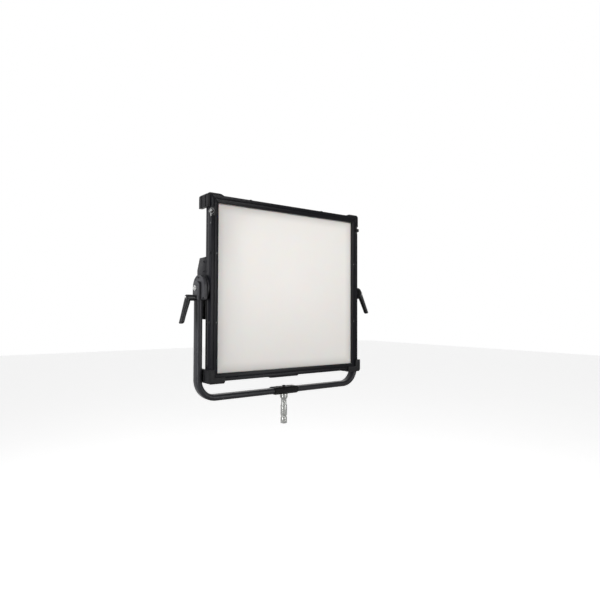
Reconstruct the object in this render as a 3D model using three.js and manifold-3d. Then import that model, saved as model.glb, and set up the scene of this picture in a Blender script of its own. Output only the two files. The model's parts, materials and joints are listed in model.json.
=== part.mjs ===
// LED soft panel light on a U-shaped yoke with a stand spigot.
// Millimetres, +Z up. The origin is the centre of the spigot's bottom end face, the light shines
// towards -Y, and the tilt axis runs along X straight above the origin.

import * as THREE from 'three';
import { mergeVertices } from 'three/addons/utils/BufferGeometryUtils.js';
import Module from 'manifold-3d';

const wasm = await Module();
wasm.setup();

// ---------------------------------------------------------------- driving dimensions

const gap = 0.3;                     // clearance between pieces that touch
const runningGap = 0.4;              // clearance round pieces that turn or slide
const roundSegments = 20;            // facets on a full turn of a small round piece

// front frame: four mitred rails of one extruded profile
const apertureWidth = 660;
const apertureHeight = 620;
const bezelWidth = 28.5;
const frameDepth = 43;
const frameWall = 3;
const bezelGrooveOffset = 14.5;      // groove line on the bezel, measured from the aperture
const bezelGrooveWidth = 1.6;
const bezelGrooveDepth = 1.6;
const sideLipWidth = 12;             // from the groove line on the sides back to the rear edge
const innerLipWidth = 2.5;
const rearFlangeWidth = 13;

// optical stack, each piece measured back from the frame's front face
const diffuserRecess = 12.5;
const diffuserThickness = 3;
const diffuserOverlap = 7.5;         // how far the sheet reaches behind the inner lip
const reflectorWall = 1.5;
const boardThickness = 1.6;
const chipSize = 7;
const chipHeight = 0.8;
const chipsAcross = 4;
const chipsUp = 8;
const chassisThickness = 4;

// rear
const sinkBase = 5;
const finHeight = 24;
const finThickness = 2;
const finCount = 11;
const coverPlate = 2.2;
const coverBulge = 15;
const coverMarginX = 34;             // bulge inset from the frame's outer edge, left and right
const coverMarginZ = 40;             // and above and below
const windowInset = 18;              // fin window inside the bulge's outer edge
const windowEndInset = 48.5;         // and inside its top and bottom edges
const windowHousingSpace = 13.5;     // between a fin window and the housing
const housingWidth = 330;
const housingHeight = 360;
const housingDepth = 66;
const housingWall = 2.5;
const housingChamfer = 14;

// fans and boards inside the housing
const fanSize = 80;
const fanDepth = 20;
const fanSpread = 124;               // distance between the two fan centres
const fanRise = 112;                 // fan centres above the tilt axis
const fanBlades = 7;
const fanWall = 2.5;                 // between the fan's round passage and its square sides
const fanHubRadius = 15;
const fanHubMount = 3;               // thickness of the fixed hub plate
const fanArm = 2;                    // thickness and half width of the arms that hold it
const fanTipClearance = 1;
const bladeWidth = 13;
const bladeThickness = 2;
const bladePitch = 52;               // degrees
const slotCount = 9;
const slotPitch = 8.2;
const slotHeight = 4.5;
const slotReach = 0.85;              // share of the fan circle's chord that a slot spans
const ventCount = 9;                 // vents in each side wall of the housing
const ventPitch = 24;
const ventHeight = 8;
const ventStart = 12;                // from the housing's front edge
const ventEnd = 40;
const cableOpening = [165, 180];     // width and height of the hole in the cover behind the housing
const boardsTop = 50;                // top edge of the supply and the driver board above the tilt axis
const boardsApart = 20;              // between the supply and the driver board
const supplyWidth = 120;
const supplyHeight = 200;
const supplyDepth = 36;
const supplyStandoff = 2;
const driverWidth = 130;
const driverHeight = 190;
const driverStandoff = 6;
const driverThickness = 2;
const driverComponents = [           // one column each: transformers, coils, capacitors
  { across: 30, tall: 26 },
  { across: 36, tall: 18 },
  { across: 24, tall: 30 },
];
const componentRows = 3;
const componentLength = 28;
const componentPitch = 50;

// rear controls
const panelWidth = 236;
const panelHeight = 92;
const panelThickness = 3;
const panelCorner = 6;
const panelLap = 8;                  // how far a panel laps over the edge of its opening
const panelDrop = 12;                // control panel's centre below the tilt axis
const displayWidth = 92;
const displayHeight = 54;
const displayMargin = 14;            // from the panel's right edge
const displayRise = 10;              // above the panel's centre
const displayRecess = 0.5;
const knobRadius = 12;
const knobHeight = 15;
const knobChamfer = 1.5;
const knobLift = 1;                  // under the knob's skirt
const knobShaftRadius = 3;
const firstKnobX = -41;
const knobSpacing = 46;
const knobRise = 16;                 // above the panel's centre
const behindPanel = 5;               // knob shafts and button stems reach this far behind the panel
const buttonWidth = 14;
const buttonHeight = 8;
const buttonProud = 2.4;
const buttonFlange = 1.5;
const firstButtonX = -34.4;
const buttonSpacing = 26;
const buttonFall = 30;               // below the panel's centre
const connectorWidth = 250;
const connectorHeight = 62;
const connectorDrop = 128;
const inletRadius = 13;
const inletSocketRadius = 9.5;
const dataRadius = 11.5;
const dataSocketRadius = 8.5;
const socketDepth = 14;
const socketFloor = 3;
const socketFlange = 2.4;
const ethernetWidth = 24;            // flange of the network socket, without its lap
const ethernetHeight = 22;
const ethernetWall = 2;
const ethernetLap = 3;               // the flange beyond the socket's body, each side
const rockerWidth = 14;
const rockerHeight = 22;
const rockerEndProud = 2.2;          // ends of the rocker's face
const rockerMiddleProud = 0.9;
const rockerDepth = 5;
const rockerOffAngle = 10;           // degrees the rocker leans when it is off
const handleSpan = 150;
const handleReach = 46;
const handleRadius = 8;
const handleBend = 18;
const handleFootHalf = [16, 14];     // half width and half height of the handle's feet
const handleFootThickness = 5;
const handleAboveHousing = 60;

// corner bumpers
const bumperArmSpace = 1;            // between the bumpers' sides and the yoke's arms
const bumperEndProud = 8;
const bumperLegSide = 43;            // leg down the frame's side, from the frame's corner
const bumperLegEnd = 57;             // leg along the frame's top or bottom
const upperLegSlope = 15;            // run-out at the end of that leg, down to the frame
const lowerLegSlope = 4;
const bumperLegTip = 1.5;            // thickness left at the end of the run-out
const upperBumperTail = 38.5;        // behind the frame's rear edge
const lowerBumperTail = 29;
const upperBumperFront = 8;
const lowerBumperFront = -6;
const bumperRadius = 11;
const bumperRearWall = 3;             // wall of the part behind the frame
const ribGrooveWidth = 8;
const ribGrooveDepth = 3;
const ribGrooves = [-17.5, 14.5];        // groove centres, measured back from the frame's rear edge

// accessory locks in the upper corners, on a 45 degree flat of the frame's edge
const lockBumperSpace = 1;           // between the lock's notch and the bumper above it
const lockFlat = 15;                 // leg of the flat's triangle
const lockNotchHeight = 33;
const lockBaseRadius = 15;
const lockKnobRadius = 11.5;
const lockTipRadius = 6.8;
const lockStemRadius = 3;
const lockCollar = 5;                // base's height above the flat
const lockStemLength = 9;            // below the flat

// tilt pivot and yoke
const pivotBehindFrame = 11.5;       // tilt axis behind the frame's rear edge
const barBelowFrame = 65.1;          // yoke bar's centre line below the frame's bottom edge
const tubeThin = 23;
const tubeWide = 42;
const tubeWall = 2.5;
const bendRadius = 68.5;
const drumRadius = 47;
const drumThickness = 8.5;
const brakeThickness = 2.6;
const leftFittingRadius = 48;
const rightFittingRadius = 29;
const fittingPlate = 11.5;
const fittingBottom = 42;            // below the tilt axis
const bossTop = 25;
const bossLip = 1;                   // boss proud of the arm tube's wide sides
const bossCorner = 16;
const bossEdge = 9;                  // rounding of the boss's outer upright edges
const fittingRim = 4;
const fittingPocket = 1.5;           // depth of the recess inside the rim
const plugLength = 35;
const boltRadius = 6;
const boltHeadRadius = 10;
const boltHeadHeight = 6.5;
const leftLeverDrop = 36;

// side brackets
const bracketHalfHeight = 115;
const bracketReach = 60.5;           // furthest back, measured from the tilt axis
const bracketEndReach = 40.5;
const bracketThickness = 6;
const bracketFoot = 26;
const bracketEndSlope = 1;
const bracketShoulder = 46;          // from the bracket's ends to its full reach
const bracketFlange = 5;
const bracketRibs = [-80, -38, 38, 80];
const bracketRib = 5;

// clamping levers
const leverHubRadius = 12;
const leverHubLength = 39.5;
const leverLength = 96;
const leverLean = 15.6;              // degrees outward
const leftLeverForward = 5;          // degrees towards the front
const rightLeverForward = 10.7;
const leverStations = [              // grip from root to tip: share of its length, width, thickness
  { share: 0, wide: 23, thin: 21 },
  { share: 0.12, wide: 24, thin: 22 },
  { share: 0.35, wide: 23, thin: 20.5 },
  { share: 0.7, wide: 21.5, thin: 18.5 },
  { share: 0.93, wide: 21.5, thin: 18 },
  { share: 0.985, wide: 17, thin: 13 },
  { share: 1, wide: 9, thin: 6 },
];
const leverStudRadius = 4;
const leverSocketRadius = 8;
const leverThread = 18;              // stud inside the handle's hub
const leverFlareRadius = 26;         // thrust washer of the right lever, and its hub's foot
const leverWasherHeight = 10.5;

// spigot and its clamp on the bar
const spigotRadius = 14;
const spigotProfile = {              // heights above the end face, then radii
  chamfer: 1.5, endTop: 23.6, grooveTop: 33.7, bodyTop: 73.6, neckTop: 97.5, taperTop: 105.7,
  collarTop: 119.9,
  grooveRadius: 12, neckRadius: 11.65, collarRadius: 16.5,
};
const clampLength = 114;
const clampWall = 3;
const clampEndSlope = 4;
const upperClampBevel = 6;
const lowerClampBevel = 9;
const spigotBoltRadius = 5;
const spigotBoltThread = 18;         // below the spigot's taper
const spigotBoltHead = 7;
const spigotBoltHeadHeight = 4.5;

// rear bottom pad
const padLength = 134;
const padDepth = 24;
const padProud = 12;                 // below the frame's bottom face
const padRadius = 6;

// ---------------------------------------------------------------- values worked out from them

const outerHalfX = apertureWidth / 2 + bezelWidth;
const outerHalfZ = apertureHeight / 2 + bezelWidth;
const pivotSetback = frameDepth + pivotBehindFrame;
const pivotToBar = outerHalfZ + barBelowFrame;
const barHeight = spigotProfile.collarTop + gap + clampWall + tubeThin / 2;
const pivotHeight = barHeight + pivotToBar;
const armInner = outerHalfX + drumThickness + brakeThickness + 3 * gap;
const armX = armInner + tubeThin / 2;
const armOuter = armInner + tubeThin;
const bumperSideProud = armInner - outerHalfX - bumperArmSpace;
const lockHeight = outerHalfZ - bumperLegSide - lockBumperSpace - lockNotchHeight / 2;
const handleRise = housingHeight / 2 + handleAboveHousing;
const chassisFront = frameDepth - frameWall + 1 - gap - chassisThickness;
const boardFront = chassisFront - gap - boardThickness;
const coverFront = frameDepth + gap;
const housingFront = coverFront + coverPlate + coverBulge + gap;
const housingRear = housingFront + housingDepth;
const panelBack = housingRear + gap + panelThickness;
const chassisHalfX = outerHalfX - frameWall - 2 * gap;
const chassisHalfZ = outerHalfZ - frameWall - 2 * gap;

/** Y of a plane that lies this far behind the frame's front face. */
function depth(distance) {
  return distance - pivotSetback;
}

// ---------------------------------------------------------------- materials

function finish(color, roughness, metalness) {
  return new THREE.MeshStandardMaterial({ color, roughness, metalness });
}

const look = {
  frame: finish(0x34353a, 0.5, 0.4),
  yoke: finish(0x45464b, 0.45, 0.4),
  casting: finish(0x3b3c40, 0.55, 0.4),
  rubber: finish(0x232427, 0.85, 0),
  plastic: finish(0x1e1f21, 0.6, 0),
  diffuser: finish(0xe5e2de, 0.8, 0),
  white: finish(0xf2f2ee, 0.6, 0),
  aluminium: finish(0xb9bbb8, 0.4, 0.9),
  steel: finish(0xc9cac8, 0.3, 1),
  board: finish(0xe9ebe6, 0.6, 0),
  greenBoard: finish(0x1f4a33, 0.6, 0),
  brake: finish(0x3a2f28, 0.9, 0),
  display: finish(0x0c1014, 0.1, 0),
};

// ---------------------------------------------------------------- geometry helpers

function toSolid(geometry) {
  const plain = geometry.clone();
  plain.deleteAttribute('normal');
  plain.deleteAttribute('uv');
  const merged = mergeVertices(plain, 1e-4);
  const index = merged.index.array;
  const position = merged.attributes.position.array;
  return new wasm.Manifold(new wasm.Mesh({
    numProp: 3,
    vertProperties: new Float32Array(position),
    triVerts: new Uint32Array(index),
  }));
}

function fromSolid(solid) {
  const mesh = solid.getMesh();
  const geometry = new THREE.BufferGeometry();
  geometry.setAttribute('position', new THREE.BufferAttribute(mesh.vertProperties, 3));
  geometry.setIndex(new THREE.BufferAttribute(mesh.triVerts, 1));
  geometry.computeVertexNormals();
  return geometry;
}

function cut(base, ...tools) {
  let solid = toSolid(base);
  for (const tool of tools) {
    solid = solid.subtract(toSolid(tool));
  }
  return fromSolid(solid);
}

function join(...pieces) {
  let solid = toSolid(pieces[0]);
  for (const piece of pieces.slice(1)) {
    solid = solid.add(toSolid(piece));
  }
  return fromSolid(solid);
}

/** What two solids have in common. */
function common(first, second) {
  return fromSolid(toSolid(first).intersect(toSolid(second)));
}

function box(x0, x1, y0, y1, z0, z1) {
  const geometry = new THREE.BoxGeometry(Math.abs(x1 - x0), Math.abs(y1 - y0), Math.abs(z1 - z0));
  return geometry.translate((x0 + x1) / 2, (y0 + y1) / 2, (z0 + z1) / 2);
}

/** Turned piece on an axis; profile is [radius, distance along the axis], from axis to axis. */
function turned(profile, axis, segments = roundSegments) {
  const geometry = new THREE.LatheGeometry(profile.map(([r, h]) => new THREE.Vector2(r, h)), segments);
  const turn = new THREE.Quaternion().setFromUnitVectors(new THREE.Vector3(0, 1, 0), axis);
  return geometry.applyQuaternion(turn);
}

const alongX = new THREE.Vector3(1, 0, 0);
const alongY = new THREE.Vector3(0, 1, 0);
const alongZ = new THREE.Vector3(0, 0, 1);

/** Plain round bar between two distances along an axis. */
function bar(radius, from, to, axis, segments = roundSegments) {
  return turned([[0, from], [radius, from], [radius, to], [0, to]], axis, segments);
}

function outline(points) {
  return new THREE.Shape(points.map(([a, b]) => new THREE.Vector2(a, b)));
}

function roundedRectangle(width, height, radius, x = 0, y = 0) {
  const shape = new THREE.Shape();
  const w = width / 2;
  const h = height / 2;
  shape.moveTo(x - w + radius, y - h);
  shape.lineTo(x + w - radius, y - h);
  shape.absarc(x + w - radius, y - h + radius, radius, -Math.PI / 2, 0);
  shape.lineTo(x + w, y + h - radius);
  shape.absarc(x + w - radius, y + h - radius, radius, 0, Math.PI / 2);
  shape.lineTo(x - w + radius, y + h);
  shape.absarc(x - w + radius, y + h - radius, radius, Math.PI / 2, Math.PI);
  shape.lineTo(x - w, y - h + radius);
  shape.absarc(x - w + radius, y - h + radius, radius, Math.PI, 1.5 * Math.PI);
  return shape;
}

/** Corner radius that makes a rectangle this thin a flat oval, with a sliver of straight edge left. */
function ovalRadius(thin) {
  return thin / 2 - 0.01;
}

function extrude(shape, length, curveSegments = 6) {
  return new THREE.ExtrudeGeometry(shape, { depth: length, bevelEnabled: false, curveSegments });
}

/** Prism whose outline lies in XZ, from y0 to y1. */
function prismY(shape, y0, y1, curveSegments) {
  return extrude(shape, y1 - y0, curveSegments).rotateX(Math.PI / 2).translate(0, y1, 0);
}

/** Prism whose outline lies in YZ, from x0 to x1. */
function prismX(shape, x0, x1, curveSegments) {
  const start = Math.min(x0, x1);
  const turn = new THREE.Matrix4().set(0, 0, 1, start, 1, 0, 0, 0, 0, 1, 0, 0, 0, 0, 0, 1);
  return extrude(shape, Math.abs(x1 - x0), curveSegments).applyMatrix4(turn);
}

/** Prism whose outline lies in XY, from z0 to z1. */
function prismZ(shape, z0, z1, curveSegments) {
  return extrude(shape, z1 - z0, curveSegments).translate(0, 0, z0);
}

/** Closed skin through rings of equal point count, with a flat fan at each end. */
function loft(rings) {
  const count = rings[0].length;
  const points = rings.flat();
  const first = points.length;
  const middle = (ring) => ring.reduce((sum, p) => sum.add(p), new THREE.Vector3()).divideScalar(count);
  points.push(middle(rings[0]), middle(rings[rings.length - 1]));
  const faces = [];
  for (let i = 0; i < rings.length - 1; i += 1) {
    for (let j = 0; j < count; j += 1) {
      const a = i * count + j;
      const b = i * count + ((j + 1) % count);
      faces.push(a, b, b + count, a, b + count, a + count);
    }
  }
  const last = (rings.length - 1) * count;
  for (let j = 0; j < count; j += 1) {
    const next = (j + 1) % count;
    faces.push(first, next, j, first + 1, last + j, last + next);
  }
  const geometry = new THREE.BufferGeometry();
  const position = points.flatMap((p) => [p.x, p.y, p.z]);
  geometry.setAttribute('position', new THREE.Float32BufferAttribute(position, 3));
  geometry.setIndex(signedVolume(points, faces) < 0 ? faces.reverse() : faces);
  geometry.computeVertexNormals();
  return geometry;
}

function signedVolume(points, faces) {
  let volume = 0;
  for (let i = 0; i < faces.length; i += 3) {
    const [a, b, c] = [points[faces[i]], points[faces[i + 1]], points[faces[i + 2]]];
    volume += a.dot(b.clone().cross(c)) / 6;
  }
  return volume;
}

/** Oval ring round a centre, in the plane of two directions. */
function oval(centre, sideways, across, width, thickness, count = 14) {
  const ring = [];
  for (let i = 0; i < count; i += 1) {
    const angle = (2 * Math.PI * i) / count;
    ring.push(centre.clone()
      .addScaledVector(sideways, (width / 2) * Math.cos(angle))
      .addScaledVector(across, (thickness / 2) * Math.sin(angle)));
  }
  return ring;
}

function add(group, name, geometry, material) {
  const mesh = new THREE.Mesh(geometry, material);
  mesh.name = name;
  group.add(mesh);
  return mesh;
}

// ---------------------------------------------------------------- front frame

/** The rail's section: distance outward from the aperture, distance behind the front face. */
function railSection() {
  const outer = bezelWidth;
  const inside = outer - frameWall;
  const grooveEnd = bezelGrooveOffset + bezelGrooveWidth;
  const sideStart = frameDepth - sideLipWidth;
  const sideEnd = sideStart + bezelGrooveWidth;
  const rearFront = frameDepth - frameWall + 1;
  return [
    [0, 0],
    [bezelGrooveOffset, 0], [bezelGrooveOffset, bezelGrooveDepth],
    [grooveEnd, bezelGrooveDepth], [grooveEnd, 0],
    [outer, 0],
    [outer, sideStart], [outer - bezelGrooveDepth, sideStart],
    [outer - bezelGrooveDepth, sideEnd], [outer, sideEnd],
    [outer, frameDepth],
    [outer - rearFlangeWidth, frameDepth], [outer - rearFlangeWidth, rearFront],
    [inside, rearFront], [inside, frameWall],
    [innerLipWidth, frameWall], [innerLipWidth, diffuserRecess],
    [0, diffuserRecess],
  ];
}

/** One rail with mitred ends, lying along X with its aperture edge on z = 0. */
function mitredRail(apertureLength) {
  const section = outline(railSection().map(([out, back]) => [back, out]));
  const geometry = prismX(section, -0.5, 0.5);
  const position = geometry.attributes.position;
  for (let i = 0; i < position.count; i += 1) {
    const half = apertureLength / 2 + position.getZ(i) - gap / 2;
    position.setX(i, Math.sign(position.getX(i)) * half);
  }
  return geometry.translate(0, depth(0), 0);
}

/** Triangular notch that leaves the 45 degree flat for an accessory lock. */
function lockNotch(side) {
  const edge = side * outerHalfX;
  const overshoot = 1;
  const shape = outline([
    [edge - side * (lockFlat + overshoot), depth(-overshoot)],
    [edge + side * overshoot, depth(-overshoot)],
    [edge + side * overshoot, depth(lockFlat + overshoot)],
  ]);
  return prismZ(shape, lockHeight - lockNotchHeight / 2, lockHeight + lockNotchHeight / 2);
}

function addFrame(head) {
  const top = mitredRail(apertureWidth).translate(0, 0, apertureHeight / 2);
  const bottom = mitredRail(apertureWidth).translate(0, 0, apertureHeight / 2).rotateY(Math.PI);
  add(head, 'frame_top_rail', top, look.frame);
  add(head, 'frame_bottom_rail', bottom, look.frame);
  for (const [name, side] of [['left', -1], ['right', 1]]) {
    const rail = mitredRail(apertureHeight).translate(0, 0, apertureWidth / 2).rotateY(side * Math.PI / 2);
    add(head, `frame_${name}_rail`, cut(rail, lockNotch(side)), look.frame);
  }
}

// ---------------------------------------------------------------- optical stack

function rectangleRing(halfX, halfZ, wall, y0, y1) {
  const outer = box(-halfX, halfX, y0, y1, -halfZ, halfZ);
  const inner = box(-halfX + wall, halfX - wall, y0 - 1, y1 + 1, -halfZ + wall, halfZ - wall);
  return cut(outer, inner);
}

function ledBoard(side, halfX, halfZ) {
  const inner = side * gap / 2;
  const outer = side * halfX;
  const rear = depth(boardFront + boardThickness);
  const front = depth(boardFront);
  const pieces = [box(inner, outer, front, rear, -halfZ, halfZ)];
  const pitchX = halfX / chipsAcross;
  const pitchZ = (2 * halfZ) / chipsUp;
  for (let i = 0; i < chipsAcross; i += 1) {
    for (let j = 0; j < chipsUp; j += 1) {
      const x = side * pitchX * (i + 0.5);
      const z = -halfZ + pitchZ * (j + 0.5);
      const half = chipSize / 2;
      pieces.push(box(x - half, x + half, front - chipHeight, front + 0.2, z - half, z + half));
    }
  }
  return join(...pieces);
}

function addOptics(head) {
  const sheetFront = diffuserRecess + gap;
  const sheetRear = sheetFront + diffuserThickness;
  const sheetHalfX = apertureWidth / 2 + diffuserOverlap;
  const sheetHalfZ = apertureHeight / 2 + diffuserOverlap;
  const sheet = roundedRectangle(2 * sheetHalfX, 2 * sheetHalfZ, 4);
  add(head, 'diffuser_panel', prismY(sheet, depth(sheetFront), depth(sheetRear), 2), look.diffuser);

  const wallsFront = sheetRear + gap;
  const wallsRear = chassisFront - gap;
  const walls = rectangleRing(sheetHalfX, sheetHalfZ, reflectorWall, depth(wallsFront), depth(wallsRear));
  add(head, 'reflector_walls', walls, look.white);

  const boardHalfX = sheetHalfX - reflectorWall - gap;
  const boardHalfZ = sheetHalfZ - reflectorWall - gap;
  add(head, 'led_board_left', ledBoard(-1, boardHalfX, boardHalfZ), look.board);
  add(head, 'led_board_right', ledBoard(1, boardHalfX, boardHalfZ), look.board);

  const chassisRear = chassisFront + chassisThickness;
  const chassis = box(
    -chassisHalfX, chassisHalfX, depth(chassisFront), depth(chassisRear), -chassisHalfZ, chassisHalfZ,
  );
  add(head, 'chassis_plate', chassis, look.aluminium);
}

// ---------------------------------------------------------------- rear cover, heat sinks, housing

const windowOuter = outerHalfX - coverMarginX - windowInset;
const windowWidth = windowOuter - housingWidth / 2 - windowHousingSpace;
const windowHeight = 2 * (outerHalfZ - coverMarginZ - windowEndInset);
const windowCentre = windowOuter - windowWidth / 2;

function heatSink(side) {
  const front = depth(chassisFront + chassisThickness + gap);
  const width = windowWidth - 4;
  const x0 = -width / 2;
  const pitch = (width - finThickness) / (finCount - 1);
  const points = [[x0, front], [x0 + width, front]];
  for (let i = finCount - 1; i >= 0; i -= 1) {
    const left = x0 + i * pitch;
    points.push([left + finThickness, front + sinkBase + finHeight]);
    points.push([left, front + sinkBase + finHeight]);
    if (i > 0) {
      points.push([left, front + sinkBase]);
      points.push([left - pitch + finThickness, front + sinkBase]);
    }
  }
  const half = windowHeight / 2 - 2;
  return prismZ(outline(points), -half, half).translate(side * windowCentre, 0, 0);
}

/** Flat-topped bulge with 45 degree flanks, as a closed solid. */
function bulge(halfX, halfZ, front, height, flank) {
  const corners = (hx, hz, y) => [
    new THREE.Vector3(-hx, y, -hz), new THREE.Vector3(hx, y, -hz),
    new THREE.Vector3(hx, y, hz), new THREE.Vector3(-hx, y, hz),
  ];
  return loft([corners(halfX, halfZ, front), corners(halfX - flank, halfZ - flank, front + height)]);
}

function rearCover() {
  const plateFront = depth(coverFront);
  const plateRear = depth(coverFront + coverPlate);
  const halfX = outerHalfX - coverMarginX;
  const halfZ = outerHalfZ - coverMarginZ;
  const plate = box(-chassisHalfX, chassisHalfX, plateFront, plateRear, -chassisHalfZ, chassisHalfZ);
  const outer = bulge(halfX, halfZ, plateRear - 0.1, coverBulge + 0.1, coverBulge);
  const inner = bulge(halfX - coverPlate, halfZ - coverPlate, plateFront - 1, coverBulge + 1, coverBulge);
  const hole = (x, width, height) => box(
    x - width / 2, x + width / 2, plateFront - 1, depth(housingFront), -height / 2, height / 2,
  );
  return cut(
    join(plate, outer),
    inner,
    hole(-windowCentre, windowWidth, windowHeight),
    hole(windowCentre, windowWidth, windowHeight),
    hole(0, ...cableOpening),
  );
}

function housing() {
  const front = depth(housingFront);
  const rear = depth(housingRear);
  const halfX = housingWidth / 2;
  const halfZ = housingHeight / 2;
  const straight = housingDepth - housingChamfer;
  const block = (inset, start, end) => join(
    box(-halfX + inset, halfX - inset, start, front + straight, -halfZ + inset, halfZ - inset),
    bulge(halfX - inset, halfZ - inset, front + straight - 0.1, end - front - straight + 0.1, housingChamfer),
  );
  const tools = [block(housingWall, front - 1, rear - housingWall)];
  const hole = (width, height, x, z) => box(
    x - width / 2, x + width / 2, rear - 2 * housingWall, rear + 1, z - height / 2, z + height / 2,
  );
  tools.push(hole(panelWidth - 2 * panelLap, panelHeight - 2 * panelLap, 0, -panelDrop));
  tools.push(hole(connectorWidth - 2 * panelLap, connectorHeight - 2 * panelLap, 0, -connectorDrop));
  for (const side of [-1, 1]) {
    for (let i = 0; i < slotCount; i += 1) {
      const offset = (i - (slotCount - 1) / 2) * slotPitch;
      const chord = 2 * Math.sqrt((fanSize / 2) ** 2 - offset ** 2);
      tools.push(hole(slotReach * chord, slotHeight, side * fanSpread / 2, fanRise + offset));
    }
    const x = side * halfX;
    for (let i = 0; i < ventCount; i += 1) {
      const z = (i - (ventCount - 1) / 2) * ventPitch;
      tools.push(box(
        x - 2 * housingWall, x + 2 * housingWall, front + ventStart, front + ventEnd,
        z - ventHeight / 2, z + ventHeight / 2,
      ));
    }
  }
  return cut(block(0, front, rear), ...tools);
}

/** Square fan frame with a round passage, and a fixed hub on two crossed arms at its front. */
function fanFrame() {
  const front = -fanDepth;
  const half = fanSize / 2;
  const reach = half - fanWall / 2;
  const passage = bar(half - fanWall, front - 1, 1, alongY, 32);
  return join(
    cut(box(-half, half, front, 0, -half, half), passage),
    bar(fanHubRadius, front, front + fanHubMount, alongY, 16),
    box(-reach, reach, front, front + fanArm, -fanArm, fanArm),
    box(-fanArm, fanArm, front, front + fanArm, -reach, reach),
  );
}

function fanRotor() {
  const rear = -gap - fanArm;
  const front = fanHubMount + gap - fanDepth;
  const pieces = [bar(fanHubRadius, front, rear, alongY, 16)];
  const tip = fanSize / 2 - fanWall - fanTipClearance;
  for (let i = 0; i < fanBlades; i += 1) {
    const blade = box(
      fanHubRadius - 2, tip, -bladeThickness / 2, bladeThickness / 2, -bladeWidth / 2, bladeWidth / 2,
    );
    blade.rotateX(THREE.MathUtils.degToRad(bladePitch));
    blade.translate(0, (front + rear) / 2, 0);
    blade.rotateY((2 * Math.PI * i) / fanBlades);
    pieces.push(blade);
  }
  return join(...pieces);
}

function powerSupply() {
  const front = depth(housingFront) + supplyStandoff;
  const right = -boardsApart / 2;
  return box(right - supplyWidth, right, front, front + supplyDepth, boardsTop - supplyHeight, boardsTop);
}

function driverBoard() {
  const front = depth(housingFront) + driverStandoff;
  const rear = front + driverThickness;
  const left = boardsApart / 2;
  const pieces = [box(left, left + driverWidth, front, rear, boardsTop - driverHeight, boardsTop)];
  const columnPitch = driverWidth / driverComponents.length;
  driverComponents.forEach(({ across, tall }, column) => {
    const x = left + columnPitch * (column + 0.5);
    for (let row = 0; row < componentRows; row += 1) {
      const z = boardsTop - driverHeight / 2 + (row - (componentRows - 1) / 2) * componentPitch;
      const w = across / 2;
      const h = componentLength / 2;
      pieces.push(box(x - w, x + w, rear - 1, rear + tall, z - h, z + h));
    }
  });
  return join(...pieces);
}

function addRear(head) {
  add(head, 'heat_sink_left', heatSink(-1), look.aluminium);
  add(head, 'heat_sink_right', heatSink(1), look.aluminium);
  add(head, 'rear_cover', rearCover(), look.frame);
  add(head, 'electronics_housing', housing(), look.casting);
  const fanRear = depth(housingRear) - housingWall - gap;
  for (const [name, side] of [['left', -1], ['right', 1]]) {
    const x = side * fanSpread / 2;
    add(head, `fan_frame_${name}`, fanFrame(), look.plastic).position.set(x, fanRear, fanRise);
    add(head, `fan_rotor_${name}`, fanRotor(), look.plastic).position.set(x, fanRear, fanRise);
  }
  add(head, 'power_supply', powerSupply(), look.aluminium);
  add(head, 'driver_board', driverBoard(), look.greenBoard);
}

// ---------------------------------------------------------------- rear controls and connectors

const panelRearY = depth(panelBack);
const panelFrontY = depth(housingRear + gap);
const displayX = panelWidth / 2 - displayMargin - displayWidth / 2;
const displayZ = displayRise - panelDrop;
const knobX = [0, 1].map((i) => firstKnobX - knobSpacing * i);
const knobZ = knobRise - panelDrop;
const buttonX = [0, 1, 2].map((i) => firstButtonX - buttonSpacing * i);
const buttonZ = -buttonFall - panelDrop;

/** Rear panel with rounded corners, centred this far below the tilt axis. */
function panelPlate(width, height, drop) {
  return prismY(roundedRectangle(width, height, panelCorner, 0, -drop), panelFrontY, panelRearY, 3);
}

/** Cutting tools that pass through a rear panel. */
function roundHole(radius, x, z, segments) {
  return bar(radius, panelFrontY - 1, panelRearY + 1, alongY, segments).translate(x, 0, z);
}

function squareHole(width, height, x, z) {
  return box(x - width / 2, x + width / 2, panelFrontY - 1, panelRearY + 1, z - height / 2, z + height / 2);
}

function controlPanel() {
  const room = 2 * runningGap;
  return cut(
    panelPlate(panelWidth, panelHeight, panelDrop),
    squareHole(displayWidth, displayHeight, displayX, displayZ),
    ...knobX.map((x) => roundHole(knobShaftRadius + runningGap, x, knobZ, 16)),
    ...buttonX.map((x) => squareHole(buttonWidth + room, buttonHeight + room, x, buttonZ)),
  );
}

function displayWindow() {
  const w = displayWidth / 2 - gap;
  const h = displayHeight / 2 - gap;
  return box(
    displayX - w, displayX + w, panelFrontY, panelRearY - displayRecess, displayZ - h, displayZ + h,
  );
}

function knob() {
  const shaftEnd = -panelThickness - behindPanel;
  const profile = [
    [0, shaftEnd], [knobShaftRadius, shaftEnd], [knobShaftRadius, knobLift], [knobRadius, knobLift],
    [knobRadius, knobHeight - knobChamfer], [knobRadius - knobChamfer, knobHeight], [0, knobHeight],
  ];
  return turned(profile, alongY, 24);
}

function button() {
  const w = buttonWidth / 2;
  const h = buttonHeight / 2;
  return join(
    box(-w, w, -panelThickness - buttonFlange, buttonProud, -h, h),
    box(-w / 2, w / 2, -panelThickness - behindPanel, -panelThickness, -h / 2, h / 2),
  );
}

const connectorX = { inlet: -98, rocker: -58, dmxInput: -18, dmxOutput: 30, ethernet: 84 };

function connectorPanel() {
  const z = -connectorDrop;
  const room = 2 * gap;
  const socketWidth = ethernetWidth - 2 * ethernetLap + room;
  const socketHeight = ethernetHeight - 2 * ethernetLap + room;
  return cut(
    panelPlate(connectorWidth, connectorHeight, connectorDrop),
    roundHole(inletRadius + gap, connectorX.inlet, z, 24),
    roundHole(dataRadius + gap, connectorX.dmxInput, z, 24),
    roundHole(dataRadius + gap, connectorX.dmxOutput, z, 24),
    squareHole(socketWidth, socketHeight, connectorX.ethernet, z),
    squareHole(rockerWidth + room, rockerHeight + 2 * rockerMiddleProud + room, connectorX.rocker, z),
  );
}

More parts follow.
